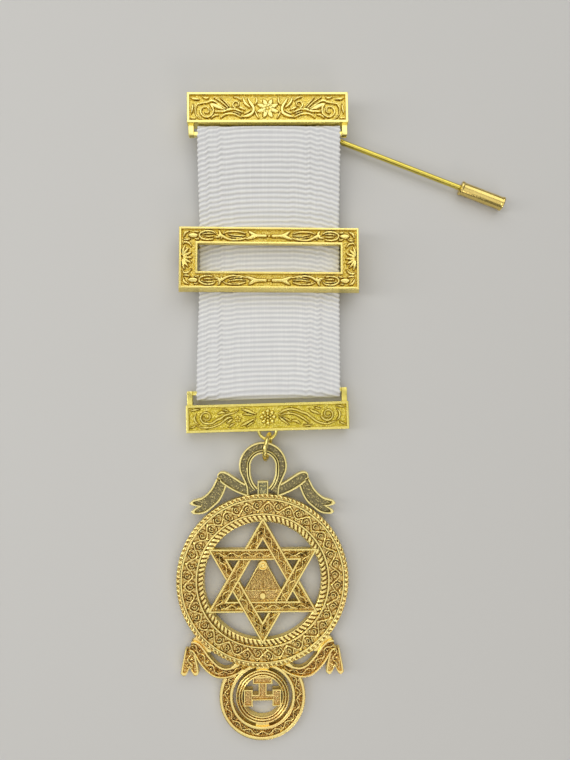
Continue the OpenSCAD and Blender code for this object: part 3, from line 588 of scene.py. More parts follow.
def top_flower(x, y):
    """Eight leaves under six petals, with a bead in the middle."""
    leaves = [[[1.0 * math.cos(a), 1.0 * math.sin(a) - 0.1, 0.5],
               [1.7 * math.cos(a), 1.55 * math.sin(a) - 0.1, 0.52],
               [2.4 * math.cos(a), 2.1 * math.sin(a) - 0.1, 0.2]]
              for a in np.radians([25, 68, 112, 155, 200, 248, 292, 340])]
    outer = chased(x, y, leaves, 0.4)
    inner = petals(x, y + 0.1, 6, 0.8, 0.5, 0.25)
    bead = petals(x, y + 0.1, 1, 0.0, 0.36)
    return laid_over(outer * np.where(outer > 0, 0.62, 1), np.maximum(0.92 * inner, bead))


print("top bar:", len(TOP_SCROLL), "lines on each half")

# %% [markdown]
# ## The brooch pin's pivot, and the top bar in place
#
# Behind the top bar a riveted post carries the pin. The bar itself is turned
# by one degree, as it lies in the photograph.

# %% Build the top bar
TOP_HEIGHT, TOP_REACH, TOP_Y, TOP_BACK, TOP_TURN = 6.9, 2.05, -0.64, 2.7, 1.0
top_place = (Matrix.Rotation(math.radians(TOP_TURN), 4, "Z")
             @ Matrix.Translation((0, TOP_Y, TOP_BACK)))
top_parts = [placed(p, top_place) for p in
             cast_bar(TOP_HEIGHT, -1, TOP_REACH, mirrored_lines(TOP_SCROLL), top_flower)]
pivot = turned([[0, 0], [1.95, 0], [2.1, 0.12], [2.1, 0.5], [1.9, 0.65], [0.81, 0.65], [0.81, 2.6],
                [1.0, 2.75], [0, 2.75]])
top_bar = piece("top_bar_gilt", top_parts + [pivot], bright_gilding, "jewel", "top_bar")

# %% The lower bar's scroll
LOWER_LEFT = [
    volute(-13.5, 0.35, 1.45, 0.45, -75, -470, 0.22),
    # stem that waves from the volute to the leaves
    [[-13.3, -1.15, 0.18], [-12.2, -0.95, 0.24], [-11.3, -0.35, 0.22], [-10.4, 0.0, 0.28],
     [-9.5, 0.6, 0.2], [-8.5, 0.9, 0.2], [-7.5, 1.15, 0.16], [-6.5, 1.65, 0.12]],
    [[-15.7, 1.1, 0.1], [-16.1, 0.3, 0.24], [-15.9, -0.5, 0.22], [-15.2, -1.2, 0.1]],
    # tendril under the stem, ending in a leaf
    [[-15.5, -1.6, 0.1], [-14.3, -1.95, 0.17], [-12.8, -1.95, 0.19], [-11.4, -1.55, 0.19],
     [-10.3, -1.05, 0.2], [-9.5, -0.4, 0.24], [-8.7, 0.1, 0.26], [-7.9, 0.25, 0.12]],
    [[-11.0, 1.05, 0.12], [-10.2, 1.3, 0.3], [-9.4, 1.2, 0.12]],
    [[-9.9, 2.0, 0.1], [-9.2, 1.7, 0.18], [-8.6, 1.5, 0.1]],
    [[-9.0, -1.1, 0.12], [-8.4, -0.6, 0.26], [-7.8, -0.3, 0.12]],
    [[-8.6, -2.0, 0.1], [-8.0, -1.5, 0.22], [-7.4, -1.2, 0.1]],
    # paired leaves beside the rosette
    [[-5.7, 1.85, 0.1], [-4.7, 1.6, 0.34], [-3.6, 1.15, 0.3], [-2.6, 0.75, 0.1]],
    [[-5.4, 0.75, 0.1], [-4.4, 0.75, 0.24], [-3.2, 0.5, 0.1]],
    [[-6.0, -1.75, 0.1], [-5.0, -1.3, 0.3], [-3.9, -0.75, 0.26], [-2.7, -0.2, 0.1]],
    [[-4.7, -1.95, 0.1], [-4.0, -1.45, 0.24], [-3.1, -0.95, 0.1]],
    [[-16.9, 1.9, 0.1], [-16.0, 2.0, 0.2], [-15.0, 2.1, 0.1]],
    [[-17.0, -1.9, 0.12], [-16.3, -1.7, 0.2], [-15.9, -1.4, 0.1]],
]
LOWER_RIGHT = [
    volute(13.2, 0.3, 1.45, 0.4, 205, 480, 0.22),
    # two long strokes that wave from the rosette to the volute
    [[2.5, 0.75, 0.12], [3.4, 1.3, 0.24], [4.8, 1.65, 0.26], [6.2, 1.45, 0.24], [7.4, 0.95, 0.24],
     [8.6, 0.5, 0.26], [9.6, -0.3, 0.24], [10.6, -1.1, 0.22], [11.9, -1.65, 0.22],
     [13.3, -1.75, 0.2], [14.5, -1.3, 0.14]],
    [[3.0, 0.45, 0.12], [4.4, 0.75, 0.2], [5.8, 0.55, 0.2], [7.0, 0.0, 0.24], [8.1, -0.7, 0.24],
     [9.0, -1.45, 0.14]],
    [[2.5, 0.15, 0.12], [3.0, -0.5, 0.24], [3.8, -1.1, 0.22], [4.5, -1.75, 0.12]],
    [[3.2, -0.1, 0.1], [4.2, -0.6, 0.2], [5.0, -1.2, 0.12]],
    [[9.2, 1.6, 0.1], [9.9, 1.05, 0.26], [10.8, 0.7, 0.24], [11.5, 0.3, 0.12]],
    [[10.4, 2.0, 0.1], [11.0, 1.65, 0.2], [11.7, 1.6, 0.1]],
    [[15.3, 1.4, 0.1], [15.9, 0.5, 0.24], [15.7, -0.5, 0.22], [15.1, -1.1, 0.1]],
    [[5.3, -0.9, 0.12], [6.2, -1.0, 0.28], [7.0, -1.6, 0.12]],
    [[9.6, -2.0, 0.1], [8.7, -2.05, 0.18], [7.8, -2.0, 0.1]],
    [[16.9, 1.9, 0.1], [16.1, 2.0, 0.2], [15.2, 2.1, 0.1]],
    [[17.0, -1.9, 0.12], [16.3, -1.7, 0.2], [15.9, -1.3, 0.1]],
]


def rosettes(x, y):
    """The large rosette in the middle, and the small one on its left."""
    ring = np.maximum(0.85 * petals(x, y, 8, 1.35, 0.5), 0.95 * petals(x, y, 6, 0.7, 0.34, 0.5))
    middle = np.maximum(ring, petals(x, y, 1, 0.0, 0.36))
    small = petals(x + 6.6, y + 0.25, 5, 0.48, 0.32, 0.25)
    return np.maximum(middle, 0.8 * small)


print("lower bar:", len(LOWER_LEFT), "and", len(LOWER_RIGHT), "lines")

# %% Build the lower bar with the eye under it
LOW_HEIGHT, LOW_REACH, LOW_TURN = 6.1, 2.65, 1.6
LOW_ROD_Y, LOW_BAR_Y, LOW_BACK = -63.64, -69.34, 0.32
EYE_MIDDLE, EYE_WIRE, EYE_X, EYE_Y, EYE_Z = 1.95, 0.7, -0.15, -72.19, 2.9074
# the bar is turned about its rod, which lies in the ribbon's fold
low_place = (Matrix.Translation((0, LOW_ROD_Y, LOW_BACK))
             @ Matrix.Rotation(math.radians(LOW_TURN), 4, "Z")
             @ Matrix.Translation((0, -LOW_ROD_Y, 0)))
low_parts = [placed(p, low_place @ Matrix.Translation((0, LOW_BAR_Y, 0))) for p in
             cast_bar(LOW_HEIGHT, 1, LOW_REACH, LOWER_LEFT + LOWER_RIGHT, rosettes)]
eye_place = (low_place @ Matrix.Translation((EYE_X, EYE_Y, EYE_Z - LOW_BACK))
             @ Matrix.Rotation(math.pi, 4, "Z"))
eye = placed(wire_ring(EYE_MIDDLE, EYE_WIRE, math.pi, 40), eye_place)
lower_bar = piece("lower_bar_gilt", low_parts + [eye], yellow_gilding, "jewel", "lower_bar")

# %% [markdown]
# ## The slide
#
# The slide is a frame with leaning walls: four chased bands round an open
# window. The ribbon passes behind its two long bands, held there by straps. The
# grid is laid over the whole face, the window's part is taken out, and both
# open edges are drawn back along the leaning walls.

# %% The slide's ornament
SLIDE_W, SLIDE_H, SLIDE_THICK, SLIDE_RIM = 39.4, 13.6, 2.5, 0.5
WINDOW_W, WINDOW_H, DRAFT, BAND_Y = 31.3, 6.1, 0.35, 4.93
LONG_BAND = [
    # forked leaf beside the bead
    [[0.85, 0, 0.36], [1.9, 0, 0.33], [2.9, 0.05, 0.36], [3.7, 0.4, 0.38], [4.4, 0.9, 0.16]],
    [[2.9, -0.05, 0.32], [3.8, -0.3, 0.38], [4.9, -0.75, 0.16]],
    # long leaf with its veins, which runs into the crossed leaf
    [[5.0, -0.55, 0.14], [6.4, -0.85, 0.2], [8.1, -0.95, 0.2], [9.3, -0.65, 0.24],
     [10.3, -0.1, 0.3], [11.3, 0.1, 0.14]],
    [[5.3, 0.5, 0.14], [6.5, 0.85, 0.18], [8.1, 0.9, 0.19], [9.3, 0.75, 0.16], [10.0, 0.4, 0.12]],
    [[5.3, 0.0, 0.12], [7.0, -0.05, 0.17], [8.9, 0.25, 0.12]],
    [[6.0, -0.45, 0.1], [7.2, -0.5, 0.13], [8.6, -0.3, 0.1]],
    # crossed leaf
    [[11.0, 1.0, 0.16], [10.75, 0.3, 0.32], [11.1, -0.3, 0.26], [12.0, -0.4, 0.12]],
    [[10.5, -0.75, 0.12], [10.4, -0.3, 0.22]],
    # oval leaf
    [[11.8, 0.4, 0.12], [12.4, 0.85, 0.18], [13.7, 0.98, 0.19], [14.9, 0.6, 0.2],
     [15.25, 0.0, 0.18], [14.8, -0.65, 0.2], [13.6, -0.95, 0.19], [12.4, -0.8, 0.14]],
    [[12.3, 0.4, 0.1], [13.4, 0.42, 0.15], [14.6, 0.3, 0.1]],
    [[12.4, -0.2, 0.1], [13.4, -0.25, 0.15], [14.3, -0.15, 0.1]],
    # bud that fills the corner
    [[15.7, 0, 0.14], [16.2, 0.0, 0.44], [16.9, 0.0, 0.5], [17.5, 0.0, 0.2]],
    [[15.5, 0.75, 0.14], [16.2, 0.8, 0.17]],
    [[15.4, -0.85, 0.14], [16.1, -0.75, 0.17]],
    [[17.6, 0.9, 0.12], [18.4, 0.5, 0.24], [18.7, -0.3, 0.12]],
    [[17.3, -0.8, 0.12], [18.1, -1.0, 0.2], [18.7, -0.9, 0.1]],
]


def long_band(s):
    """The lines of the upper band for s = 1, turned over for the lower one."""
    return [[[r[0], s * (BAND_Y + r[1]), 1.15 * r[2]] for r in rows] for rows in LONG_BAND]


# a fan of leaves and a hook above and below it
SHORT_BAND = [[[19.1 - 0.4 * math.cos(a), 0.6 * math.sin(a), 0.16],
               [19.1 - 1.3 * math.cos(a), 1.7 * math.sin(a), 0.32],
               [19.1 - 2.2 * math.cos(a), 2.6 * math.sin(a), 0.14]]
              for a in np.radians([-75, -50, -25, 0, 25, 50, 75])]
SHORT_BAND += [[[17.0, s * 2.5, 0.12], [17.6, s * 3.2, 0.24], [18.5, s * 3.4, 0.22],
                [18.8, s * 3.0, 0.1]] for s in (-1, 1)]
print("slide:", 2 * len(LONG_BAND) + len(SHORT_BAND), "lines on each half")

# %% The slide's face and its leaning walls
def slide_face(x, y):
    """Rims along both edges of the frame, with the ornament between them."""
    outer = np.minimum(SLIDE_W / 2 - abs(x), SLIDE_H / 2 - abs(y))
    inner = np.maximum(abs(x) - WINDOW_W / 2, abs(y) - WINDOW_H / 2)
    d = np.minimum(outer, np.maximum(inner, 0))
    lines = mirrored_lines(long_band(1) + long_band(-1) + SHORT_BAND)
    beads = np.maximum(petals(x, y - BAND_Y, 1, 0, 0.36), petals(x, y + BAND_Y, 1, 0, 0.36))
    ridge = laid_over(chased(x, y, lines, 0.3), beads)
    inside = np.where(d > SLIDE_RIM + 0.07, RELIEF * np.maximum(ridge, 0), 0)
    up = np.maximum(rim_height(d, SLIDE_RIM, SUNK), inside)
    return x, y, SLIDE_THICK - SUNK + up, np.where(d < SLIDE_RIM, 0, matted_recess(ridge))


def slide_foot(p):
    """The outer walls lean out towards the back, and the window's walls lean in."""
    outer = abs(p.x) > SLIDE_W / 2 - 1e-4 or abs(p.y) > SLIDE_H / 2 - 1e-4
    half_w, half_h, lean = ((SLIDE_W / 2, SLIDE_H / 2, DRAFT) if outer
                            else (WINDOW_W / 2, WINDOW_H / 2, -DRAFT))
    x = p.x + math.copysign(lean, p.x) if abs(abs(p.x) - half_w) < 1e-4 else p.x
    y = p.y + math.copysign(lean, p.y) if abs(abs(p.y) - half_h) < 1e-4 else p.y
    return (x, y, 0)


def window_part(c):
    """True for a face of the grid that lies in the window."""
    return abs(c.x) < WINDOW_W / 2 and abs(c.y) < WINDOW_H / 2


def frame_marks(length, window):
    """Marks across the frame: both rims of each band, on both sides of the window."""
    side = RIM_MARKS + [SLIDE_RIM - 0.1, SLIDE_RIM - 0.04, SLIDE_RIM, SLIDE_RIM + 0.07]
    positive = sorted([window / 2 + m for m in side] + [length / 2 - m for m in side])
    return [-m for m in reversed(positive)] + positive


print("the slide's face has", len(frame_marks(SLIDE_W, WINDOW_W)), "marks across")

# %% Build the slide
SLIDE_X, SLIDE_Y, SLIDE_BACK = 0.4, -34.54, 3.25
POST_X, POST_W, STRAP_T, STRAP_W = SLIDE_W / 2 - 2.4, 1.5, 0.8, 3.0

slide_grid = relief_grid(ruled(frame_marks(SLIDE_W, WINDOW_W), 0.1),
                         ruled(frame_marks(SLIDE_H, WINDOW_H), 0.1),
                         slide_face, slide_foot, hole=window_part)
slide_parts = [placed(slide_grid, Matrix.Translation((0, 0, SLIDE_BACK)))]
for s in (-1, 1):
    y0 = s * (WINDOW_H + SLIDE_H) / 4 - STRAP_W / 2
    slide_parts.append(block((-POST_X, y0, 0), (POST_X, y0 + STRAP_W, STRAP_T), 0.15))
    for side in (-1, 1):
        x0 = side * (POST_X - POST_W / 2) - POST_W / 2
        corner = (x0 + POST_W, y0 + STRAP_W, SLIDE_BACK + 0.3)
        slide_parts.append(block((x0, y0, 0.02), corner, 0.15))
slide_at = Matrix.Translation((SLIDE_X, SLIDE_Y, 0))
piece("slide_gilt", [placed(p, slide_at) for p in slide_parts], slide_gilding,
      "jewel", "slide_frame")

# %% [markdown]
# ## The medal
#
# The medal is one pierced casting. It is dressed part by part, each drawn flat
# round the centre of its large ring and then laid against the jump ring: the
# medal leans by two degrees because the ring holds its top up. Its gilding is
# browner than the bars', with browner painted shade in the hollows, and a
# little warmer at the foot.

# %% Sizes and place of the medal
MEDAL_R, PLATE, RIM_HIGH, RIM_W = 18.75, 1.2, 0.5, 0.4
BAND_OUT, BAND_IN, HOLE_R, STAR_R, STAR_W = 17.85, 14.2, 12.7, 13.7, 2.4
LOOP_Y, LOOP_R, LOOP_IN, LOOP_RISE = 24.8, 5.25, 2.7, 6.05
FOOT_Y, FOOT_R, FOOT_IN, DISC_R, DISC_IN, FOOT_LINE = -24.9, 9.3, 6.42, 5.76, 4.31, -34.2
MEDAL_X, MEDAL_Y, TOP_LIFT = -0.9, -104.74, 1.95
# how far a strip is sunk where another part of the casting passes over it
UNDER_STAR, UNDER_RING = -0.3, -0.35
medal_tilt = math.asin(TOP_LIFT / (LOOP_Y - FOOT_LINE))
medal_place = (Matrix.Translation((MEDAL_X, MEDAL_Y + FOOT_LINE, 0))
               @ Matrix.Rotation(medal_tilt, 4, "X") @ Matrix.Translation((0, -FOOT_LINE, 0)))
# the hollow colours of these gildings are the painted shade in each part's hollows: brown on the
# ring and the foot, olive grey in the channels
ring_gilding = gilt_brass("old gilt cast brass", "#FCE894", "#C4A468", "#F3D486",
                          0.2, 0.42, 0.32, 1.05)
channel_gilding = gilt_brass("grey gilt cast brass", "#F7E79E", "#817E61", "#ECDD90",
                             0.22, 0.42, 0.4, 0.6)
foot_gilding = gilt_brass("copper gilt cast brass", "#FCE694", "#C49F66", "#F6D388",
                          0.18, 0.42, 0.34, 1.05)
print("medal leans", round(math.degrees(medal_tilt), 2), "degrees")

# %% [markdown]
# ## The large ring
#
# From the outside in: a pitted border, a fine line, a sunk band with a stem that
# waves and curls, another fine line and a cord. All of it is a function of the
# radius and the angle, so the grid is laid out round a circle.

# %% Height over the large ring
BAYS, CORD_BARS, BORDER_STRANDS, BAND_STRETCH = 44, 84, 112, 1.17
RING_BAY = [
    volute(0.05, -0.32, 0.5, 0.1, 100, -400, 0.18),
    [[1.05, -0.1, 0.08], [0.85, -0.65, 0.2], [0.35, -1.02, 0.08]],
    [[-1.05, -0.5, 0.08], [-0.75, -0.88, 0.18], [-0.2, -1.05, 0.08]],
    [[-0.25, 1.0, 0.07], [0.3, 1.05, 0.1]],
]


def band_recess(mark):
    """Recess of the medal's narrow bands, whose open ground is lighter."""
    return np.where(mark > 0, np.clip(0.75 - 1.3 * mark, 0, 1), 0.5 - 0.9 * mark)


def inside_star(x, y):
    """How far a point lies inside the star's outline, which is two triangles."""
    down = [STAR_R / 2 - (x * math.cos(a) + y * math.sin(a)) for a in np.radians([30, 150, 270])]
    up = [STAR_R / 2 - (x * math.cos(a) + y * math.sin(a)) for a in np.radians([-30, 210, 90])]
    return np.maximum(np.minimum.reduce(down), np.minimum.reduce(up))


def ring_face(angle, r):
    """The large ring, from its cord inside to its pitted border."""
    turn = angle / (2 * math.pi)
    inner, inner_deep = cord_height(turn * CORD_BARS, r - (HOLE_R + BAND_IN) / 2,
                                    BAND_IN - HOLE_R, 1, RIM_HIGH)
    outer, outer_deep = pitted_height(turn * BORDER_STRANDS, r - (MEDAL_R + BAND_OUT) / 2,
                                      MEDAL_R - BAND_OUT, 1, RIM_HIGH)
    in_band = (r > BAND_IN) & (r < BAND_OUT)
    line = rim_height(np.minimum(r - BAND_IN, BAND_OUT - r), RIM_W, RIM_HIGH, 0.1)
    middle = (BAND_OUT + BAND_IN) / 2
    leaves = waving_stem(angle * middle, (r - middle) / BAND_STRETCH,
                         2 * math.pi * middle / BAYS, 0.72, 0.2, RING_BAY)
    sunk = (r > BAND_IN + RIM_W) & (r < BAND_OUT - RIM_W)
    x, y = r * np.cos(angle), r * np.sin(angle)
    # the star's points lie over the cord, so the cord is sunk under them
    cord = np.where(inside_star(x, y) > 0.02, UNDER_STAR, inner)
    band = np.maximum(line, np.where(sunk, 0.9 * RIM_HIGH * leaves, 0))
    up = np.where(in_band, band, np.where(r <= BAND_IN, cord, outer))
    edges = np.where(in_band, 0.08, np.where(r <= BAND_IN, inner_deep, outer_deep))
    return x, y, PLATE + up, np.where(sunk, band_recess(leaves), edges)


print("large ring:", BAYS, "bays,", CORD_BARS, "bars in the cord")

# %% Build the large ring
line_marks = [0, 0.04, 0.1, RIM_W - 0.1, RIM_W - 0.04, RIM_W, RIM_W + 0.07]
ring_marks = sorted({HOLE_R, HOLE_R + 0.03, HOLE_R + 0.09, BAND_IN - 0.08}
                    | {MEDAL_R, MEDAL_R - 0.03, MEDAL_R - 0.09, BAND_OUT + 0.08}
                    | {BAND_IN + m for m in line_marks} | {BAND_OUT - m for m in line_marks})
ring_grid = relief_grid(np.linspace(0, 2 * math.pi, 1057), ruled(ring_marks, 0.12), ring_face,
                        foot_at(0), ring=True)
piece("medal_large_ring", [placed(ring_grid, medal_place)], ring_gilding,
      "jewel", "medal")

# %% [markdown]
# ## The interlaced star
#
# Two three-sided bands pass over and under each other. Each band is a strip
# that runs round its triangle with mitred corners. Where the other band
# passes over it, the strip is sunk, so its rims stop at the upper band. A small
# waving stem runs along every side. The mitred corners are left plain, so that
# the strip's two ends meet at the same height.

# %% The star's two bands
# the side of the other triangle that passes over each side
STAR_ABOVE = [5, 3, 4, 2, 0, 1]
STEM_BAY = 1.5
SMALL_BAY = [
    [[0.0, -0.05, 0.15], [0.0, -0.46, 0.1]],
    [[-0.55, -0.52, 0.07], [-0.3, -0.3, 0.12]],
    [[0.55, -0.52, 0.07], [0.3, -0.3, 0.12]],
]


def star_angles(k):
    """Angles of both ends of side k. Sides 0 to 2 are the upright triangle's."""
    first, start = (0, 90) if k < 3 else (3, -90)
    return [math.radians(start - 120 * n) for n in (k - first, (k - first + 1) % 3)]


def facing_out(k):
    """The direction in which side k faces."""
    a, b = star_angles(k)
    out = math.atan2(math.sin(a) + math.sin(b), math.cos(a) + math.cos(b))
    return [math.cos(out), math.sin(out)]


def star_band(first, behind):
    """The triangle whose sides start at number first, with its back at the height behind."""
    ends = np.array([star_angles(first + n) for n in range(3)])
    facing = np.array([facing_out(STAR_ABOVE[first + n]) for n in range(3)])

    def face(u, v):
        side = np.minimum(u.astype(int), 2)
        t, far = u - side, STAR_R - 2 * v
        a, b = ends[side, 0], ends[side, 1]
        x = far * (np.cos(a) * (1 - t) + np.cos(b) * t)
        y = far * (np.sin(a) * (1 - t) + np.sin(b) * t)
        s = (t - 0.5) * far * math.sqrt(3)
        ornament = waving_stem(s, v - STAR_W / 2, STEM_BAY, 0.34, 0.18, SMALL_BAY)
        ornament = np.where(abs(t - 0.5) < 0.499, ornament, 0)
        rim = rim_height(np.minimum(v, STAR_W - v), RIM_W, RIM_HIGH, 0.1)
        floor = (v > RIM_W) & (v < STAR_W - RIM_W)
        up = np.maximum(rim, np.where(floor, 0.75 * RIM_HIGH * ornament, 0))
        over = STAR_R / 2 - (x * facing[side, 0] + y * facing[side, 1])
        under = (over > 0.05) & (over < STAR_W - 0.05) & (abs(t - 0.5) < 0.42)
        recess = np.where(floor, 0.8 * band_recess(ornament), 0)
        return x, y, PLATE + np.where(under, UNDER_STAR, up), recess

    rows = ruled(both_ways(0, STAR_W, line_marks), 0.12)
    return relief_grid(np.linspace(0, 3, 3 * 190 + 1), rows, face, foot_at(behind), ring=True)


triangles = [star_band(0, 0.015), star_band(3, 0.03)]
piece("medal_star", [placed(p, medal_place) for p in triangles], ring_gilding,
      "jewel", "medal")

# %% [markdown]
# ## The rayed plate in the star
#
# A small plate stands in the star's opening: a pointed body with rays, a level
# line, a boss below it and a pierced disc at its point.

# %% Build the rayed plate
PLATE_TOP, PLATE_FOOT, NECK, SLOPE = 3.56, -4.6, 0.9, 0.56
LINE_Y, FOOT_LINE_Y, BOSS_Y, BOSS_R, MOAT_R = -2.12, -4.15, -3.3, 0.72, 0.98
ray_lines = [[[0.35 * k, PLATE_TOP - 1.4, 0.06], [1.02 * k, LINE_Y + 0.3, 0.13]]
             for k in range(-3, 4)]


def plate_face(u, v):
    """u runs from one leaning side to the other, and v up the plate."""
    half = NECK + (PLATE_TOP - v) * SLOPE
    x = u * half
    # 0.87 turns the level distance into the one square to the leaning side
    d = (1 - abs(u)) * half * 0.87
    rays = chased(x, v, ray_lines) * (v > LINE_Y)
    level = chased(x, v, [[[-5, LINE_Y, 0.14], [5, LINE_Y, 0.14]]])
    foot_line = chased(x, v, [[[-5, FOOT_LINE_Y, 0.14], [5, FOOT_LINE_Y, 0.14]]])
    far = np.hypot(x, v - BOSS_Y)
    boss = eased((BOSS_R - far) / 0.08)
    moat = (far > BOSS_R) & (far < MOAT_R)
    dots = petals(x, v - LINE_Y - 0.75, 1, 0, 0.2) + petals(x, v - LINE_Y - 1.5, 1, 0, 0.16)
    up = np.maximum.reduce([0.3 * rays, 0.34 * level, 0.4 * boss, 0.4 * dots, 0.3 * foot_line,
                            rim_height(d, 0.24, 0.38, 0.07)]) * np.where(moat, 0, 1)
    return x, v, PLATE + up, np.clip(0.9 - 2.6 * up, 0, 1)


plate_grid = relief_grid(ruled([-1, -0.97, -0.93, 0.93, 0.97, 1], 0.022),
                         ruled([PLATE_FOOT, PLATE_TOP], 0.1), plate_face, foot_at(0.045))
disc_profile = [[0, 0.05], [1.07, 0.05], [1.07, 1.5], [0.98, 1.62], [0.76, 1.62], [0.66, 1.26],
                [0.46, 1.26], [0.38, 1.56], [0.2, 1.64], [0, 1.65]]
disc = placed(turned(disc_profile), Matrix.Translation((0, PLATE_TOP - 0.3, 0)))
link = block((-0.3, PLATE_TOP + 0.4, 0.05), (0.3, 4.6, 1.35), 0.1)
piece("medal_rayed_plate", [placed(p, medal_place) for p in (plate_grid, disc, link)],
      ring_gilding, "jewel", "medal")

# %% [markdown]
# ## Loop, bow and scrolls
#
# The loop, the bow and the scrolls are all channels: a flat strip of changing
# width with a fine rim along each side. One function draws them. It measures
# the rim in millimetres from the strip's own edge, so that the rim keeps its width
# where the strip widens, and it can end a strip in the two points of a swallowtail.

# %% Marks across a channel
NEAR = [0, 0.03, 0.07, 0.11, 0.34, 0.4, 0.45, 0.52]
RIM_END, FLOOR_END, FAR_END = 0.52, 1.52, 2.04


def across_marks():
    """Across a channel: the near rim in millimetres, the floor as a share, then the far rim."""
    floor = [RIM_END + k / 12 for k in range(1, 12)]
    return np.array(NEAR + floor + [FAR_END - m for m in reversed(NEAR)])


def channel_offset(v, w):
    """From marks across to the offset off the middle line and the distance to the nearest side."""
    scale = np.minimum(1, w / 0.6)
    edge = RIM_END * scale
    inside = -(w - edge) + (v - RIM_END) * 2 * (w - edge)
    offset = np.where(v < RIM_END, -w + v * scale,
                      np.where(v < FLOOR_END, inside, w - (FAR_END - v) * scale))
    return offset, (w - abs(offset)) / scale


def run_along(line):
    """Length along a line up to each of its points."""
    return np.concatenate([[0], np.cumsum(np.hypot(*np.diff(line[:, :2], axis=0).T))])


print("a channel has", len(across_marks()), "rows of points across")

# %% A channel that follows a curved line
TIP_AT = 0.62


def channel(rows, behind, low, forked=False, rim_high=RIM_HIGH, pattern=None):
    """rows are x, y and half width in units of the medal's radius. low(x, y, s) is true where
    another part passes over, and pattern(s, offset, w) gives the ornament on the floor."""
    line = smooth_rows([[r[0] * MEDAL_R, r[1] * MEDAL_R, r[2] * MEDAL_R] for r in rows], 10)
    run = run_along(line)
    length = run[-1]
    heading = np.gradient(line[:, :2], run, axis=0)
    heading /= np.hypot(*heading.T)[:, None]

    def face(u, v):
        w = np.interp(np.minimum(u, 1) * length, run, line[:, 2])
        offset, d = channel_offset(v, w)
        # a fork reaches 1 mm past the line's end at its tips and stops 0.75 mm short between
        share = np.clip(abs(offset) / w, 0, 1)
        notch = -0.75 + 1.75 * np.sin(math.pi / 2 * share / TIP_AT)
        tip = 1.0 - 0.6 * ((share - TIP_AT) / 0.38) ** 2
        reach = np.where(share < TIP_AT, notch, tip) if forked else 0 * u
        s = u * length + reach * eased((u - 0.55) / 0.45)
        x = np.interp(s, run, line[:, 0]) + np.maximum(s - length, 0) * heading[-1, 0]
        y = np.interp(s, run, line[:, 1]) + np.maximum(s - length, 0) * heading[-1, 1]
        hx, hy = np.interp(s, run, heading[:, 0]), np.interp(s, run, heading[:, 1])
        x, y = x - offset * hy, y + offset * hx
        if forked:
            slope = 1.75 / (TIP_AT * w)
            d = np.minimum(d, (length + reach - s) / np.sqrt(1 + slope ** 2) + 1e-9)
        floor = d > RIM_W + 0.05
        mark = pattern(s, offset, w) if pattern else 0 * u
        up = np.maximum(rim_height(d, RIM_W, rim_high, 0.1),
                        np.where(floor, 0.7 * RIM_HIGH * mark, 0))
        recess = np.where(floor, band_recess(mark) if pattern else 1.15, 0)
        return x, y, PLATE + np.where(low(x, y, s), UNDER_RING, up), recess

    steps = math.ceil(length / 0.13)
    near_end = (0.52, 0.45, 0.4, 0.3, 0.2, 0.11, 0.06, 0.03) if forked else ()
    us = np.array(sorted(set(np.linspace(0, 1, steps + 1)) | {1 - m / length for m in near_end}))
    return relief_grid(us, across_marks(), face, foot_at(behind))


def under_ring(x, y, s):
    """True where the large ring passes over."""
    return np.hypot(x, y) < MEDAL_R - 0.12


def under_channel(rows):
    """A function that is true where the large ring or the channel of these rows passes over."""
    left = [[-abs(r[0]) * MEDAL_R, r[1] * MEDAL_R, r[2] * MEDAL_R - 0.1] for r in rows]
    return lambda x, y, s: (chased(-abs(x), y, [left]) > 0) | under_ring(x, y, s)


def small_scroll(s, offset, w):
    """The waving stem of the star's bands, drawn to the width of a channel."""
    fit = np.clip((w - RIM_W) / 0.8, 0.5, 1.5)
    return waving_stem(s, offset / fit, STEM_BAY, 0.36, 0.18, SMALL_BAY)


def mirrored_rows(rows, s):
    """The rows for s = 1, and their mirror image on the right for s = -1."""
    return [[s * r[0], r[1], r[2]] for r in rows]


print("a fork's tips lie at", TIP_AT, "of the half width")

# %% The bow on both sides of the loop
WING_INNER = [[-0.139, 1.019, 0.059], [-0.272, 1.077, 0.067], [-0.379, 1.141, 0.071],
              [-0.448, 1.187, 0.068], [-0.49, 1.205, 0.056], [-0.518, 1.195, 0.025]]
WING_OUTER = [[-0.465, 1.215, 0.052], [-0.487, 1.128, 0.07], [-0.523, 1.04, 0.077],
              [-0.568, 0.971, 0.083], [-0.625, 0.917, 0.083], [-0.701, 0.867, 0.09],
              [-0.785, 0.85, 0.08]]
ARM_OUT = [[1, 0], [0.975, -0.17], [0.88, -0.37], [0.76, -0.6], [0.68, -0.8], [0.66, -1.05]]
ARM_IN = [[1, 0], [0.985, -0.27], [0.93, -0.4], [0.8, -0.56], [0.6, -0.7], [0.42, -0.79]]


def under_loop(x, y, s):
    """True under the loop, where the wing is sunk so that it starts behind the loop's arm."""
    arm = np.array(ARM_OUT[::-1])
    reach = np.interp(y, LOOP_Y + arm[:, 1] * LOOP_RISE, arm[:, 0] * LOOP_R)
    bend = np.hypot(x, y - LOOP_Y) < LOOP_R - 0.1
    return bend | under_ring(x, y, s) | ((y < LOOP_Y) & (abs(x) < reach - 0.1))


under_inner_wing = under_channel(WING_INNER)
bow = []
for s in (1, -1):
    bow.append(channel(mirrored_rows(WING_INNER, s), 0.02, under_loop))
    bow.append(channel(mirrored_rows(WING_OUTER, s), 0.04, under_inner_wing, True, 0.46))
piece("medal_bow", [placed(p, medal_place) for p in bow], channel_gilding,
      "jewel", "medal")

# %% The loop and its tab
TAB_W, TAB_FOOT, TAB_TOP = 2.34, 18.62, 21.55


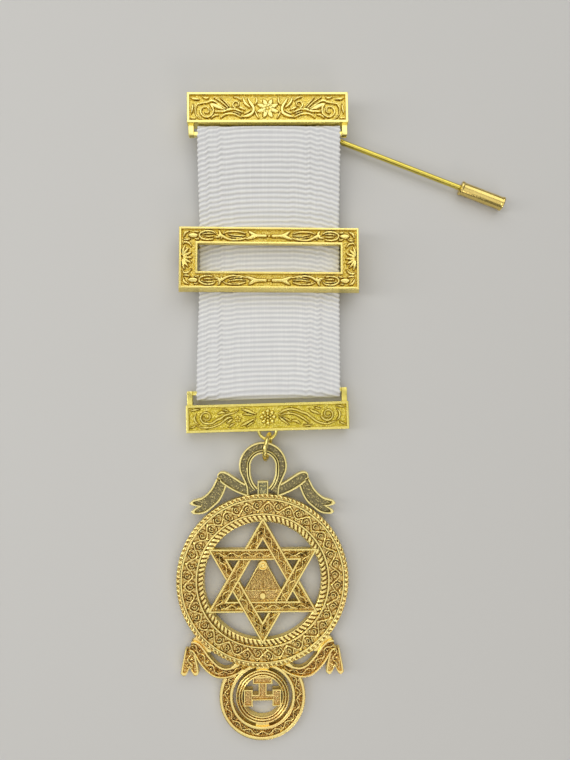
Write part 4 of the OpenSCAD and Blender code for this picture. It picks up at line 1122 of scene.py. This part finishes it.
def loop_side(rows, r, f):
    """Right half of the loop's outline: 0 at the foot, 0.5 at the widest place, 1 at the top."""
    arm = smooth_rows([[p[0] * r, LOOP_Y + p[1] * LOOP_RISE, 0] for p in reversed(rows)], 6)
    run = run_along(arm)
    share = np.clip(f * 2, 0, 1) * run[-1]
    bend = np.clip(f - 0.5, 0, 0.5) * math.pi
    x = np.where(f < 0.5, np.interp(share, run, arm[:, 0]), r * np.cos(bend))
    y = np.where(f < 0.5, np.interp(share, run, arm[:, 1]), LOOP_Y + r * np.sin(bend))
    return x, y


def loop_face(u, v):
    """u runs up the right arm, over the top and down the left arm."""
    f = np.where(u > 1, 2 - u, u)
    side = np.where(u > 1, -1, 1)
    xo, yo = loop_side(ARM_OUT, LOOP_R, f)
    xi, yi = loop_side(ARM_IN, LOOP_IN, f)
    w = np.hypot(xo - xi, yo - yi) / 2
    offset, d = channel_offset(v, w)
    t = (offset + w) / (2 * w)
    x, y = side * (xo * (1 - t) + xi * t), yo * (1 - t) + yi * t
    # the inner side has a second rim, so that side shows two fine lines
    second = rim_height(w - offset - 0.55, 0.34, RIM_HIGH, 0.1) * (w - offset > 0.55)
    up = np.maximum(rim_height(d, RIM_W, RIM_HIGH, 0.1), second)
    deep = np.where((d > RIM_W + 0.05) & (second < 0.1), 1.15, 0)
    return x, y, PLATE + np.where(under_ring(x, y, 0), UNDER_RING, up), deep


def tab_face(x, y):
    """A plain tab with a rim on three sides."""
    d = np.minimum(TAB_W / 2 - abs(x), TAB_TOP - y)
    return x, y, PLATE + 0.06 + rim_height(d, 0.3, RIM_HIGH, 0.08), np.where(d > 0.34, 0.9, 0)


loop_grid = relief_grid(np.linspace(0, 2, 281), across_marks(), loop_face, foot_at(0.01))
tab_grid = relief_grid(ruled([-1.17, -1.14, -1.1, -0.87, -0.8, 0.8, 0.87, 1.1, 1.14, 1.17], 0.1),
                       ruled([TAB_FOOT, 21.18, 21.25, 21.48, 21.52, TAB_TOP], 0.12),
                       tab_face, foot_at(0.005))
piece("medal_loop", [placed(p, medal_place) for p in (loop_grid, tab_grid)],
      channel_gilding, "jewel", "medal")

# %% The scrolls below the ring
SCROLL_BAND = [[-0.832, -0.742, 0.056], [-0.776, -0.757, 0.062], [-0.728, -0.811, 0.066],
               [-0.683, -0.883, 0.069], [-0.627, -0.952, 0.071], [-0.56, -1.016, 0.07],
               [-0.496, -1.048, 0.065], [-0.42, -1.056, 0.056], [-0.32, -1.03, 0.05],
               [-0.24, -0.985, 0.045]]
SCROLL_TAIL = [[-0.843, -0.779, 0.05], [-0.84, -0.84, 0.064], [-0.838, -0.9, 0.076],
               [-0.837, -0.965, 0.092], [-0.837, -1.03, 0.104]]
SCROLL_WEB = [[-0.763, -0.64], [-0.805, -0.677], [-0.763, -0.741], [-0.672, -0.816],
              [-0.6, -0.826], [-0.587, -0.795]]


def web(s):
    """The small plate between the ring and the scroll's upper end."""
    bm = bmesh.new()
    bm.verts.layers.float.new("recess")
    face = bm.faces.new([bm.verts.new((s * x * MEDAL_R, y * MEDAL_R, 0.03)) for x, y in SCROLL_WEB])
    made = bmesh.ops.extrude_face_region(bm, geom=[face])["geom"]
    top = [g for g in made if isinstance(g, bmesh.types.BMVert)]
    bmesh.ops.translate(bm, vec=(0, 0, PLATE - 0.1), verts=top)
    bmesh.ops.recalc_face_normals(bm, faces=bm.faces)
    return bm


under_scroll = under_channel(SCROLL_BAND)
scrolls = []
for s in (1, -1):
    scrolls.append(channel(mirrored_rows(SCROLL_BAND, s), 0.02, under_ring, pattern=small_scroll))
    scrolls.append(channel(mirrored_rows(SCROLL_TAIL, s), 0.04, under_scroll, True, 0.46,
                           small_scroll))
    scrolls.append(web(s))
piece("medal_scrolls", [placed(p, medal_place) for p in scrolls], foot_gilding,
      "jewel", "medal")

# %% [markdown]
# ## The pendant with the triple cross
#
# The small ring at the foot has a wide rim on each side of a matted band with
# the small waving stem. Inside it, held by two short bridges, a polished ring
# with three fine rims carries the triple cross. The cross is made of five bars.
# Each bar measures its rim from the outline that all five make together, so the
# rim runs round the whole cross and doesn't cut through where two bars meet.

# %% Faces of the pendant
FOOT_BAYS, FOOT_BAY, FOOT_RIM, FOOT_INNER_RIM = 34, 1.45, 0.72, 0.68
WIDE_MARKS = [0, 0.03, 0.08, 0.16]
CROSS_BARS = [((-2.155, 2.65), (2.155, 4.2)), ((-0.905, -0.7), (0.905, 3.1)),
              ((-2.6, -0.86), (2.6, 0.43)), ((-4.05, -2.11), (-2.11, 1.51)),
              ((2.11, -2.11), (4.05, 1.51))]


def pendant_face(angle, r):
    """Two wide rims with the small waving stem between them."""
    x, y = r * np.cos(angle), r * np.sin(angle) + FOOT_Y
    outer = rim_height(FOOT_R - r, FOOT_RIM, RIM_HIGH, 0.16)
    inner = rim_height(r - FOOT_IN, FOOT_INNER_RIM, RIM_HIGH, 0.16)
    across = r - (FOOT_R - FOOT_RIM + FOOT_IN + FOOT_INNER_RIM) / 2
    along = angle / (2 * math.pi) * FOOT_BAYS * FOOT_BAY
    mark = waving_stem(along, across, FOOT_BAY, 0.34, 0.18, SMALL_BAY)
    floor = (r > FOOT_IN + 0.75) & (r < FOOT_R - 0.79)
    up = np.maximum(np.maximum(outer, inner), np.where(floor, 0.35 * mark, 0))
    z = PLATE + np.where(under_scroll(x, y, 0), UNDER_RING, up)
    return x, y, z, np.where(floor, band_recess(mark), 0)


def disc_face(angle, r):
    """Three fine rims with grooves between them."""
    t = (r - DISC_IN) / (DISC_R - DISC_IN)
    ridge = np.abs(np.cos(2.5 * math.pi * np.abs(t - 0.5)))
    up = 0.1 + (RIM_HIGH - 0.1) * np.sqrt(ridge)
    edge = np.minimum(r - DISC_IN, DISC_R - r)
    return (r * np.cos(angle), r * np.sin(angle) + FOOT_Y, PLATE + up - fallen(edge, 0.08),
            np.clip(1 - 1.6 * ridge, 0, 0.7))


def inside_cross(x, y):
    """How far a point lies inside the outline that the five bars make together."""
    return np.maximum.reduce([np.minimum.reduce([x - x0, x1 - x, y - y0, y1 - y])
                              for (x0, y0), (x1, y1) in CROSS_BARS])


print("the pendant's band has", FOOT_BAYS, "bays and its cross", len(CROSS_BARS), "bars")

# %% Build the pendant
inner_marks = WIDE_MARKS + [0.52, 0.6, 0.65, 0.68, 0.75]
outer_marks = WIDE_MARKS + [0.56, 0.64, 0.69, 0.72, 0.79]
foot_rows = ruled([FOOT_IN + m for m in inner_marks] + [FOOT_R - m for m in reversed(outer_marks)],
                  0.11)
disc_rows = ruled(both_ways(DISC_IN, DISC_R, [0, 0.03, 0.08]), 0.05)
pendant = [relief_grid(np.linspace(0, 2 * math.pi, 481), foot_rows, pendant_face,
                       foot_at(0.02), ring=True),
           relief_grid(np.linspace(0, 2 * math.pi, 361), disc_rows, disc_face,
                       foot_at(0.03), ring=True)]
BRIDGE_AT = (FOOT_IN + DISC_R) / 2
for s in (-1, 1):
    bridge_y = FOOT_Y + s * BRIDGE_AT
    pendant.append(block((-1.45, bridge_y - 0.42, 0.04), (1.45, bridge_y + 0.42, 1.3), 0.1))

bar_marks = [0, 0.03, 0.08, 0.28, 0.34, 0.4]
for k, ((x0, y0), (x1, y1)) in enumerate(CROSS_BARS):
    bar_us = ruled(both_ways(x0, x1, bar_marks), 0.12)
    bar_vs = ruled(both_ways(y0, y1, bar_marks), 0.12)

    # each bar is a hair higher than the last, so that no two tops lie in one plane
    def bar_face(x, y, lift=0.008 * k):
        d = inside_cross(x, y)
        up = rim_height(d, 0.34, 0.42, 0.1)
        return x, y + FOOT_Y, PLATE + lift + up, np.where(d > 0.36, 0.8, 0)

    pendant.append(relief_grid(bar_us, bar_vs, bar_face, foot_at(0.045 + k / 200)))
piece("medal_pendant", [placed(p, medal_place) for p in pendant], foot_gilding,
      "jewel", "medal")

# %% [markdown]
# ## Jump ring
#
# The jump ring is plain gilt wire, bent round and closed. It hangs in the eye
# under the lower bar and holds the medal's loop, and it stands on the table,
# leaning a little.

# %% Wire gilding and the jump ring
JUMP_MIDDLE, JUMP_WIRE, JUMP_TURN, JUMP_LEAN = 2.8, 0.9, -9, 80
JUMP_AT = (0.1, -75.8153, 3.2075)
wire_gilding = gilt_brass("gilt brass wire", "#F6E389", "#CBB150", "#F1D77C",
                          0.16, 0.3, 0.3, 0.0, 0.08)
jump_place = (Matrix.Translation(JUMP_AT) @ Matrix.Rotation(math.radians(JUMP_TURN), 4, "Z")
              @ Matrix.Rotation(math.radians(JUMP_LEAN), 4, "Y"))
piece("jump_ring_gilt", [placed(wire_ring(JUMP_MIDDLE, JUMP_WIRE), jump_place)],
      wire_gilding, "jewel", "jump_ring")

# %% [markdown]
# ## The brooch pin and its cap
#
# The pin is drawn wire with a point, and its eye is hammered flat round the
# pivot post. The cap is a small turned sleeve with a rounded collar at each end,
# drilled to take the point. Both are turned along +Z and then laid along the
# pin's line. They are yellow brass with only a thin gilding.

# %% Build the pin
PIN_Z, PIN_ANGLE, PIN_REACH, CAP_LONG = 1.6, 20.8, 57.8, 10.5
pin_brass = gilt_brass("drawn brass wire", "#E2D060", "#B0A048", "#D9C35A",
                       0.12, 0.3, 0.3, 0.0, 0.08)
pin_line = (Matrix.Translation((0, 0, PIN_Z)) @ Matrix.Rotation(math.radians(-PIN_ANGLE), 4, "Z")
            @ Matrix.Rotation(math.pi / 2, 4, "Y"))
wire_end = PIN_REACH - 1.8
wire_profile = [[0, 1.3], [0.6, 1.3], [0.6, wire_end - 2.2], [0.52, wire_end - 1.6],
                [0.34, wire_end - 0.8], [0.14, wire_end - 0.08], [0.08, wire_end], [0, wire_end]]
pin_wire = placed(turned(wire_profile, 32), pin_line)
eye_section = [[0.87, -0.4], [0.93, -0.48], [1.95, -0.48], [2.07, -0.36], [2.07, 0.36],
               [1.95, 0.48], [0.93, 0.48], [0.87, 0.4]]
eye_ring = bmesh.new()
corners = [eye_ring.verts.new((r, 0, PIN_Z + h)) for r, h in eye_section]
edges = [eye_ring.edges.new(pair) for pair in zip(corners, corners[1:] + corners[:1])]
bmesh.ops.spin(eye_ring, geom=corners + edges, cent=(0, 0, 0), axis=(0, 0, 1),
               angle=2 * math.pi, steps=48, use_merge=True)
bmesh.ops.recalc_face_normals(eye_ring, faces=eye_ring.faces)
piece("pin_wire", [pin_wire, eye_ring], pin_brass, "pin", "pin")

# %% Turn the cap
cap_brass = gilt_brass("turned brass", "#E6CE7C", "#B59F50", "#DFC26D",
                       0.17, 0.34, 0.3, 0.0, 0.08)
# up the bore, out over the lower collar, along the sleeve and over the upper collar
cap_profile = [[0, 9.3], [0.66, 9.3], [0.66, 0.1], [0.76, 0], [1.46, 0], [1.56, 0.06],
               [1.6, 0.18], [1.6, 0.4], [1.56, 0.52], [1.48, 0.6], [1.46, 0.68], [1.46, 9.82],
               [1.48, 9.9], [1.56, 9.98], [1.6, 10.1], [1.6, 10.32], [1.56, 10.44],
               [1.46, 10.5], [0.5, 10.5], [0, 10.48]]
cap_along = Matrix.Translation((0, 0, PIN_REACH - CAP_LONG))
cap_sleeve = placed(placed(turned(cap_profile, 64), cap_along), pin_line)
piece("pin_cap_turned", [cap_sleeve], cap_brass, "cap", "pin_cap")

# %% [markdown]
# ## The ribbon
#
# The ribbon is ribbed silk: thick cords of weft lie across it under fine warp
# threads. It is one closed loop round both rods, and its two layers pass through
# the slide. It has been pulled, so the ribs bow upwards in the middle and kink
# near both edges, where the cloth puckers lengthwise. The mesh is one grid that
# closes on itself along the loop and round its own thickness. The ribs are
# real waves in the mesh, and the warp threads are a bump.

# %% The ribbon's path round the rods
RIBBON_W, RIBBON_T, ROD_SPAN, RIBBON_X, WAIST = 31.6, 1.0, 57.5, 0.3, 0.4
RIB_PITCH, RIB_DEPTH, RIB_BOW = 1.08, 0.22, 2.1
TOP_ROD, LOW_ROD, FOLD_MID = (-6.14, 4.2), (-63.64, 1.82), 1.27
FRONT_Z, BACK_Z = 2.55, 1.45


def layer_z(y, top, middle, low):
    """Height of a layer: middle inside the slide, and top and low at the two rods."""
    half = SLIDE_H / 2
    rise = eased((y - SLIDE_Y - half) / (TOP_ROD[0] - SLIDE_Y - half))
    drop = eased((SLIDE_Y - half - y) / (SLIDE_Y - half - LOW_ROD[0]))
    return np.where(y > SLIDE_Y, middle + (top - middle) * rise, middle + (low - middle) * drop)


def fold(rod, start):
    """Half a turn round a rod, from the angle start."""
    a = np.radians(start + np.arange(0, 180, 5))
    return np.stack([rod[0] + FOLD_MID * np.cos(a), rod[1] + FOLD_MID * np.sin(a)], axis=1)


t = np.arange(160) / 160
front_y, back_y = TOP_ROD[0] - ROD_SPAN * t, LOW_ROD[0] + ROD_SPAN * np.append(t, 1)
front_z = layer_z(front_y, TOP_ROD[1] + FOLD_MID, FRONT_Z, LOW_ROD[1] + FOLD_MID)
back_z = layer_z(back_y, TOP_ROD[1] - FOLD_MID, BACK_Z, LOW_ROD[1] - FOLD_MID)
front, back = np.stack([front_y, front_z], axis=1), np.stack([back_y, back_z], axis=1)
ribbon_path = np.concatenate([fold(TOP_ROD, -90), front, fold(LOW_ROD, 90), back])
ribbon_run = run_along(ribbon_path)
RIBBON_LOOP = ribbon_run[-1]
RIBS = round(RIBBON_LOOP / RIB_PITCH)
print("ribbon loop", round(RIBBON_LOOP, 1), "mm,", RIBS, "ribs")

# %% The cloth's place and section
def on_path(s):
    """The y and z of the middle layer at s along the loop."""
    s = np.mod(s, RIBBON_LOOP)
    return np.interp(s, ribbon_run, ribbon_path[:, 0]), np.interp(s, ribbon_run, ribbon_path[:, 1])


def cloth_point(s, x, off):
    """A point at s along the loop, x across it and off its middle layer."""
    y, z = on_path(s)
    (y1, z1), (y0, z0) = on_path(s + 0.4), on_path(s - 0.4)
    span = np.hypot(y1 - y0, z1 - z0)
    y, z = y + (z1 - z0) / span * off, z - (y1 - y0) / span * off
    # from the top bar's turn of 1 degree to the lower bar's 1.6
    turn = np.radians(1.0 + 0.6 * np.clip((TOP_ROD[0] - y) / ROD_SPAN, 0, 1))
    drawn = WAIST * eased(1 - abs(y - SLIDE_Y) / (ROD_SPAN / 2))
    return x + RIBBON_X + drawn * (0.5 - x / RIBBON_W), y + x * np.tan(turn), z


def ribbon_marks():
    """Round the ribbon's own section: its face, a rounded edge, its inside, the other edge."""
    face = [(b, 1.0) for b in np.linspace(-1, 1, 105)]
    edge = [(1.0 + 0.008 * math.sin(a), math.cos(a)) for a in np.radians([45, 90, 135])]
    inside = [(b, -1.0) for b in np.linspace(1, -1, 17)]
    other = [(-b, o) for b, o in reversed(edge)]
    return np.array(face + edge + inside + other + face[:1])


section = ribbon_marks()
print("the ribbon's section has", len(section) - 1, "points")

# %% Its ribs and puckers
rng = np.random.default_rng(7)
rib_swell = rng.uniform(0.82, 1.1, RIBS)
rib_wander = rng.normal(0, 0.05, (RIBS, 4))
# along the width: where a pucker lies, how wide it is, how far it steps a rib and lifts the cloth
PUCKERS = [(-0.87, 0.035, 0.36, 0.12), (-0.7, 0.04, 0.46, 0.17), (-0.5, 0.06, 0.16, 0.05),
           (0.3, 0.06, 0.16, 0.05), (0.55, 0.045, 0.36, 0.13), (0.71, 0.04, 0.46, 0.17),
           (0.87, 0.03, 0.3, 0.1)]


def ribbon_surface(u, v):
    """u counts the ribs along the loop, and v the points of the section."""
    marks = range(len(section))
    b, side = np.interp(v, marks, section[:, 0]), np.interp(v, marks, section[:, 1])
    rib = np.mod(np.floor(u), RIBS).astype(int)
    bow = RIB_BOW * (1 - np.clip(abs(b), 0, 1) ** 3)
    # each rib steps down where the cloth puckers, near both edges
    kink, pucker = 0 * b, 0 * b
    for k, (where, wide, step, lift) in enumerate(PUCKERS):
        away = (b - where) / wide
        swing = 0.75 + 0.35 * np.sin(0.13 * u + 1.7 * k)
        kink -= step * swing * away * np.exp(-away ** 2)
        pucker += lift * swing * np.exp(-away ** 2)
    s = u * (RIBBON_LOOP / RIBS) - bow + kink
    y, _ = on_path(s)
    # puckers lie flat where the slide and the rods hold the cloth
    held = 1 - 0.8 * np.exp(-(((y - SLIDE_Y) / 8.5) ** 4))
    free = (held * np.clip((TOP_ROD[0] + 1.5 - y) / 6, 0, 1)
            * np.clip((y - LOW_ROD[0] + 1.0) / 5, 0, 1))
    wander = sum(rib_wander[rib, k] * np.sin((k + 1) * 2.4 * b + k) for k in range(4))
    phase = np.mod(u, 1)
    wave = np.sin(math.pi * (phase + 0.5 * wander * np.sin(math.pi * phase))) ** 2
    crest = rib_swell[rib] * wave ** 0.8
    outer = side > 0
    off = side * RIBBON_T / 2
    off = off - np.where(outer, side * RIB_DEPTH * (1 - np.clip(crest, 0, 1.0)), -0.02)
    off = off + np.where(outer, side * pucker * free * (0.4 + 0.6 * wave) - 0.02, 0)
    ends = np.clip((abs(b) - 0.96) / 0.04, 0, 1)
    nick = 0.2 * (1 - wave) + 0.12 * (1 - rib_swell[rib])
    x = b * RIBBON_W / 2 - np.sign(b) * ends * nick
    px, py, pz = cloth_point(s, x, off)
    # the recess is high in the rib grooves, where the silk paints shade
    return px, py, pz, np.where(outer, 1 - wave, 0.5)


print("the cloth puckers in", len(PUCKERS), "places")

# %% Weave it into one closed mesh
def ribbon_mesh():
    """One grid whose opposite edges meet, along the loop and round the section."""
    bm = bmesh.new()
    depth = bm.verts.layers.float.new("recess")
    along, round_it = RIBS * 6, len(section) - 1
    bmesh.ops.create_grid(bm, x_segments=along, y_segments=round_it, size=0.5)
    place = np.array([v.co[:2] for v in bm.verts]) + 0.5
    u = np.interp(place[:, 0] * along, range(along + 1), np.linspace(0, RIBS, along + 1))
    u = np.where(u > RIBS - 1e-6, 0, u)
    v = place[:, 1] * round_it
    v = np.where(v > round_it - 1e-6, 0, v)
    for vert, (x, y, z, r) in zip(bm.verts, np.stack(ribbon_surface(u, v), axis=1).tolist()):
        vert.co = (x, y, z)
        vert[depth] = r
    bmesh.ops.remove_doubles(bm, verts=[v for v in bm.verts if v.is_boundary], dist=1e-5)
    bmesh.ops.recalc_face_normals(bm, faces=bm.faces)
    return bm


woven = ribbon_mesh()
print("open edges in the woven loop:", sum(e.is_boundary for e in woven.edges))

# %% [markdown]
# ## White silk
#
# Silk is bright but not chalky: the crests of the ribs carry a soft highlight,
# and the grooves between them are painted a cool grey as shade. The warp threads
# run along the ribbon, about five to a millimetre. They are drawn at that pitch
# as a fine bump, which just shows in the render, with faint streaks where
# threads lie thicker.

# %% Silk with its warp threads
def white_silk():
    """Bright ribs, grooves painted cool grey as shade, and fine warp threads."""
    material, tree = fresh_material("white ribbed silk")
    place = add_node(tree, "ShaderNodeTexCoord").outputs["Object"]
    groove = add_node(tree, "ShaderNodeAttribute", {"attribute_name": "recess"}).outputs["Fac"]
    # at scale 1 the bands of a wave texture lie 0.314 apart, and the threads' pitch is 0.2 mm
    threads = add_node(tree, "ShaderNodeTexWave", {"wave_type": "BANDS", "bands_direction": "X"},
                       {"Vector": place, "Scale": 0.314 / (0.2 * MM), "Distortion": 1.2,
                        "Detail": 2.0, "Detail Scale": 1.5})
    # streaks 0.35 mm wide and 9 mm long
    stretched = add_node(tree, "ShaderNodeMapping", {"vector_type": "POINT"},
                         {"Vector": place, "Scale": (1 / (0.35 * MM), 1 / (9 * MM), 1 / (9 * MM))})
    streaks = add_node(tree, "ShaderNodeTexNoise", {},
                       {"Vector": stretched.outputs[0], "Scale": 1.0, "Detail": 3.0})
    shade = add_node(tree, "ShaderNodeMapRange", {},
                     {"Value": streaks.outputs["Fac"], "From Min": 0.3, "From Max": 0.7,
                      "To Min": 0.0, "To Max": 0.25})
    # the grooves get painted shade, and the streaks add their own darker tone
    dark = add_node(tree, "ShaderNodeMath", {"operation": "ADD", "use_clamp": True},
                    {0: groove, 1: shade.outputs[0]})
    colour = add_node(tree, "ShaderNodeMix", {"data_type": "RGBA"},
                      {"Factor": dark.outputs[0], 6: linear("#EEEEEB"), 7: linear("#CFCFD0")})
    thread_bump = add_node(tree, "ShaderNodeBump", {},
                           {"Strength": 0.35, "Distance": 0.03 * MM,
                            "Height": threads.outputs["Fac"]})
    streak_bump = add_node(tree, "ShaderNodeBump", {},
                           {"Strength": 0.2, "Distance": 0.06 * MM,
                            "Height": streaks.outputs["Fac"], "Normal": thread_bump.outputs[0]})
    shader = add_node(tree, "ShaderNodeBsdfPrincipled", {},
                      {"Base Color": colour.outputs[2], "Roughness": 0.42, "Sheen Weight": 0.25,
                       "Sheen Roughness": 0.4, "Specular IOR Level": 0.45,
                       "Normal": streak_bump.outputs[0]})
    add_node(tree, "ShaderNodeOutputMaterial", {}, {"Surface": shader.outputs[0]})
    return material


ribbon = piece("ribbon_silk", [woven], white_silk(), "jewel", "ribbon", sharp=180)

# %% [markdown]
# ## Table and light
#
# The table is pale, plain and matt. A large softbox over the far side shines on
# the top bar and lets the light fall off towards the medal, as in the
# photograph. One overhead fills the medal's face. A narrow one from the left
# picks out the edges of the relief, and a small one from the near side warms
# the walls that face the camera. A grey room gives the metal something to
# reflect.

# %% A pale table
def matt_table():
    """A pale grey surface with a fine tooth."""
    material, tree = fresh_material("pale matt table")
    place = add_node(tree, "ShaderNodeTexCoord").outputs["Object"]
    # a fine tooth, about a millimetre across
    grain = add_node(tree, "ShaderNodeTexNoise", {},
                     {"Vector": place, "Scale": 900.0, "Detail": 2.0})
    bump = add_node(tree, "ShaderNodeBump", {},
                    {"Strength": 0.08, "Distance": 0.05 * MM, "Height": grain.outputs["Fac"]})
    shader = add_node(tree, "ShaderNodeBsdfPrincipled", {},
                      {"Base Color": linear("#CBCAC7"), "Roughness": 0.8,
                       "Normal": bump.outputs[0]})
    add_node(tree, "ShaderNodeOutputMaterial", {}, {"Surface": shader.outputs[0]})
    return material


table_bm = bmesh.new()
bmesh.ops.create_grid(table_bm, x_segments=1, y_segments=1, size=1.5)
table_mesh = bpy.data.meshes.new("table")
table_bm.to_mesh(table_mesh)
table_bm.free()
table_mesh.materials.append(matt_table())
table = bpy.data.objects.new("table", table_mesh)
bpy.context.scene.collection.objects.link(table)
print("table", [round(d, 2) for d in table.dimensions])

# %% Softboxes and the room
def softbox(name, at, aim, size, watts, colour):
    """A rectangular light at a place, turned to what it lights."""
    data = bpy.data.lights.new(name, "AREA")
    data.shape = "RECTANGLE"
    data.size, data.size_y = size
    data.energy = watts
    data.color = linear(colour)[:3]
    lamp = bpy.data.objects.new(name, data)
    bpy.context.scene.collection.objects.link(lamp)
    lamp.location = at
    lamp.rotation_euler = (Vector(aim) - Vector(at)).to_track_quat("-Z", "Y").to_euler()


softbox("far_softbox", (0.05, 0.36, 0.5), (0, -0.03, 0), (0.95, 0.6), 2.7, "#FFFEFC")
softbox("top_softbox", (0, -0.26, 0.55), (0, -0.12, 0), (0.8, 0.5), 1.07, "#FFFDF8")
softbox("left_softbox", (-0.42, -0.05, 0.3), (0, -0.07, 0), (0.14, 0.4), 0.8, "#FFFFFF")
softbox("near_softbox", (0.2, -0.6, 0.3), (0, -0.1, 0), (0.3, 0.12), 0.6, "#FFF6EC")
world = bpy.data.worlds.new("room")
world.use_nodes = True
room = world.node_tree.nodes["Background"]
room.inputs["Color"].default_value = linear("#C6C7C8")
room.inputs["Strength"].default_value = 0.27
bpy.context.scene.world = world
print("four softboxes and a grey room")
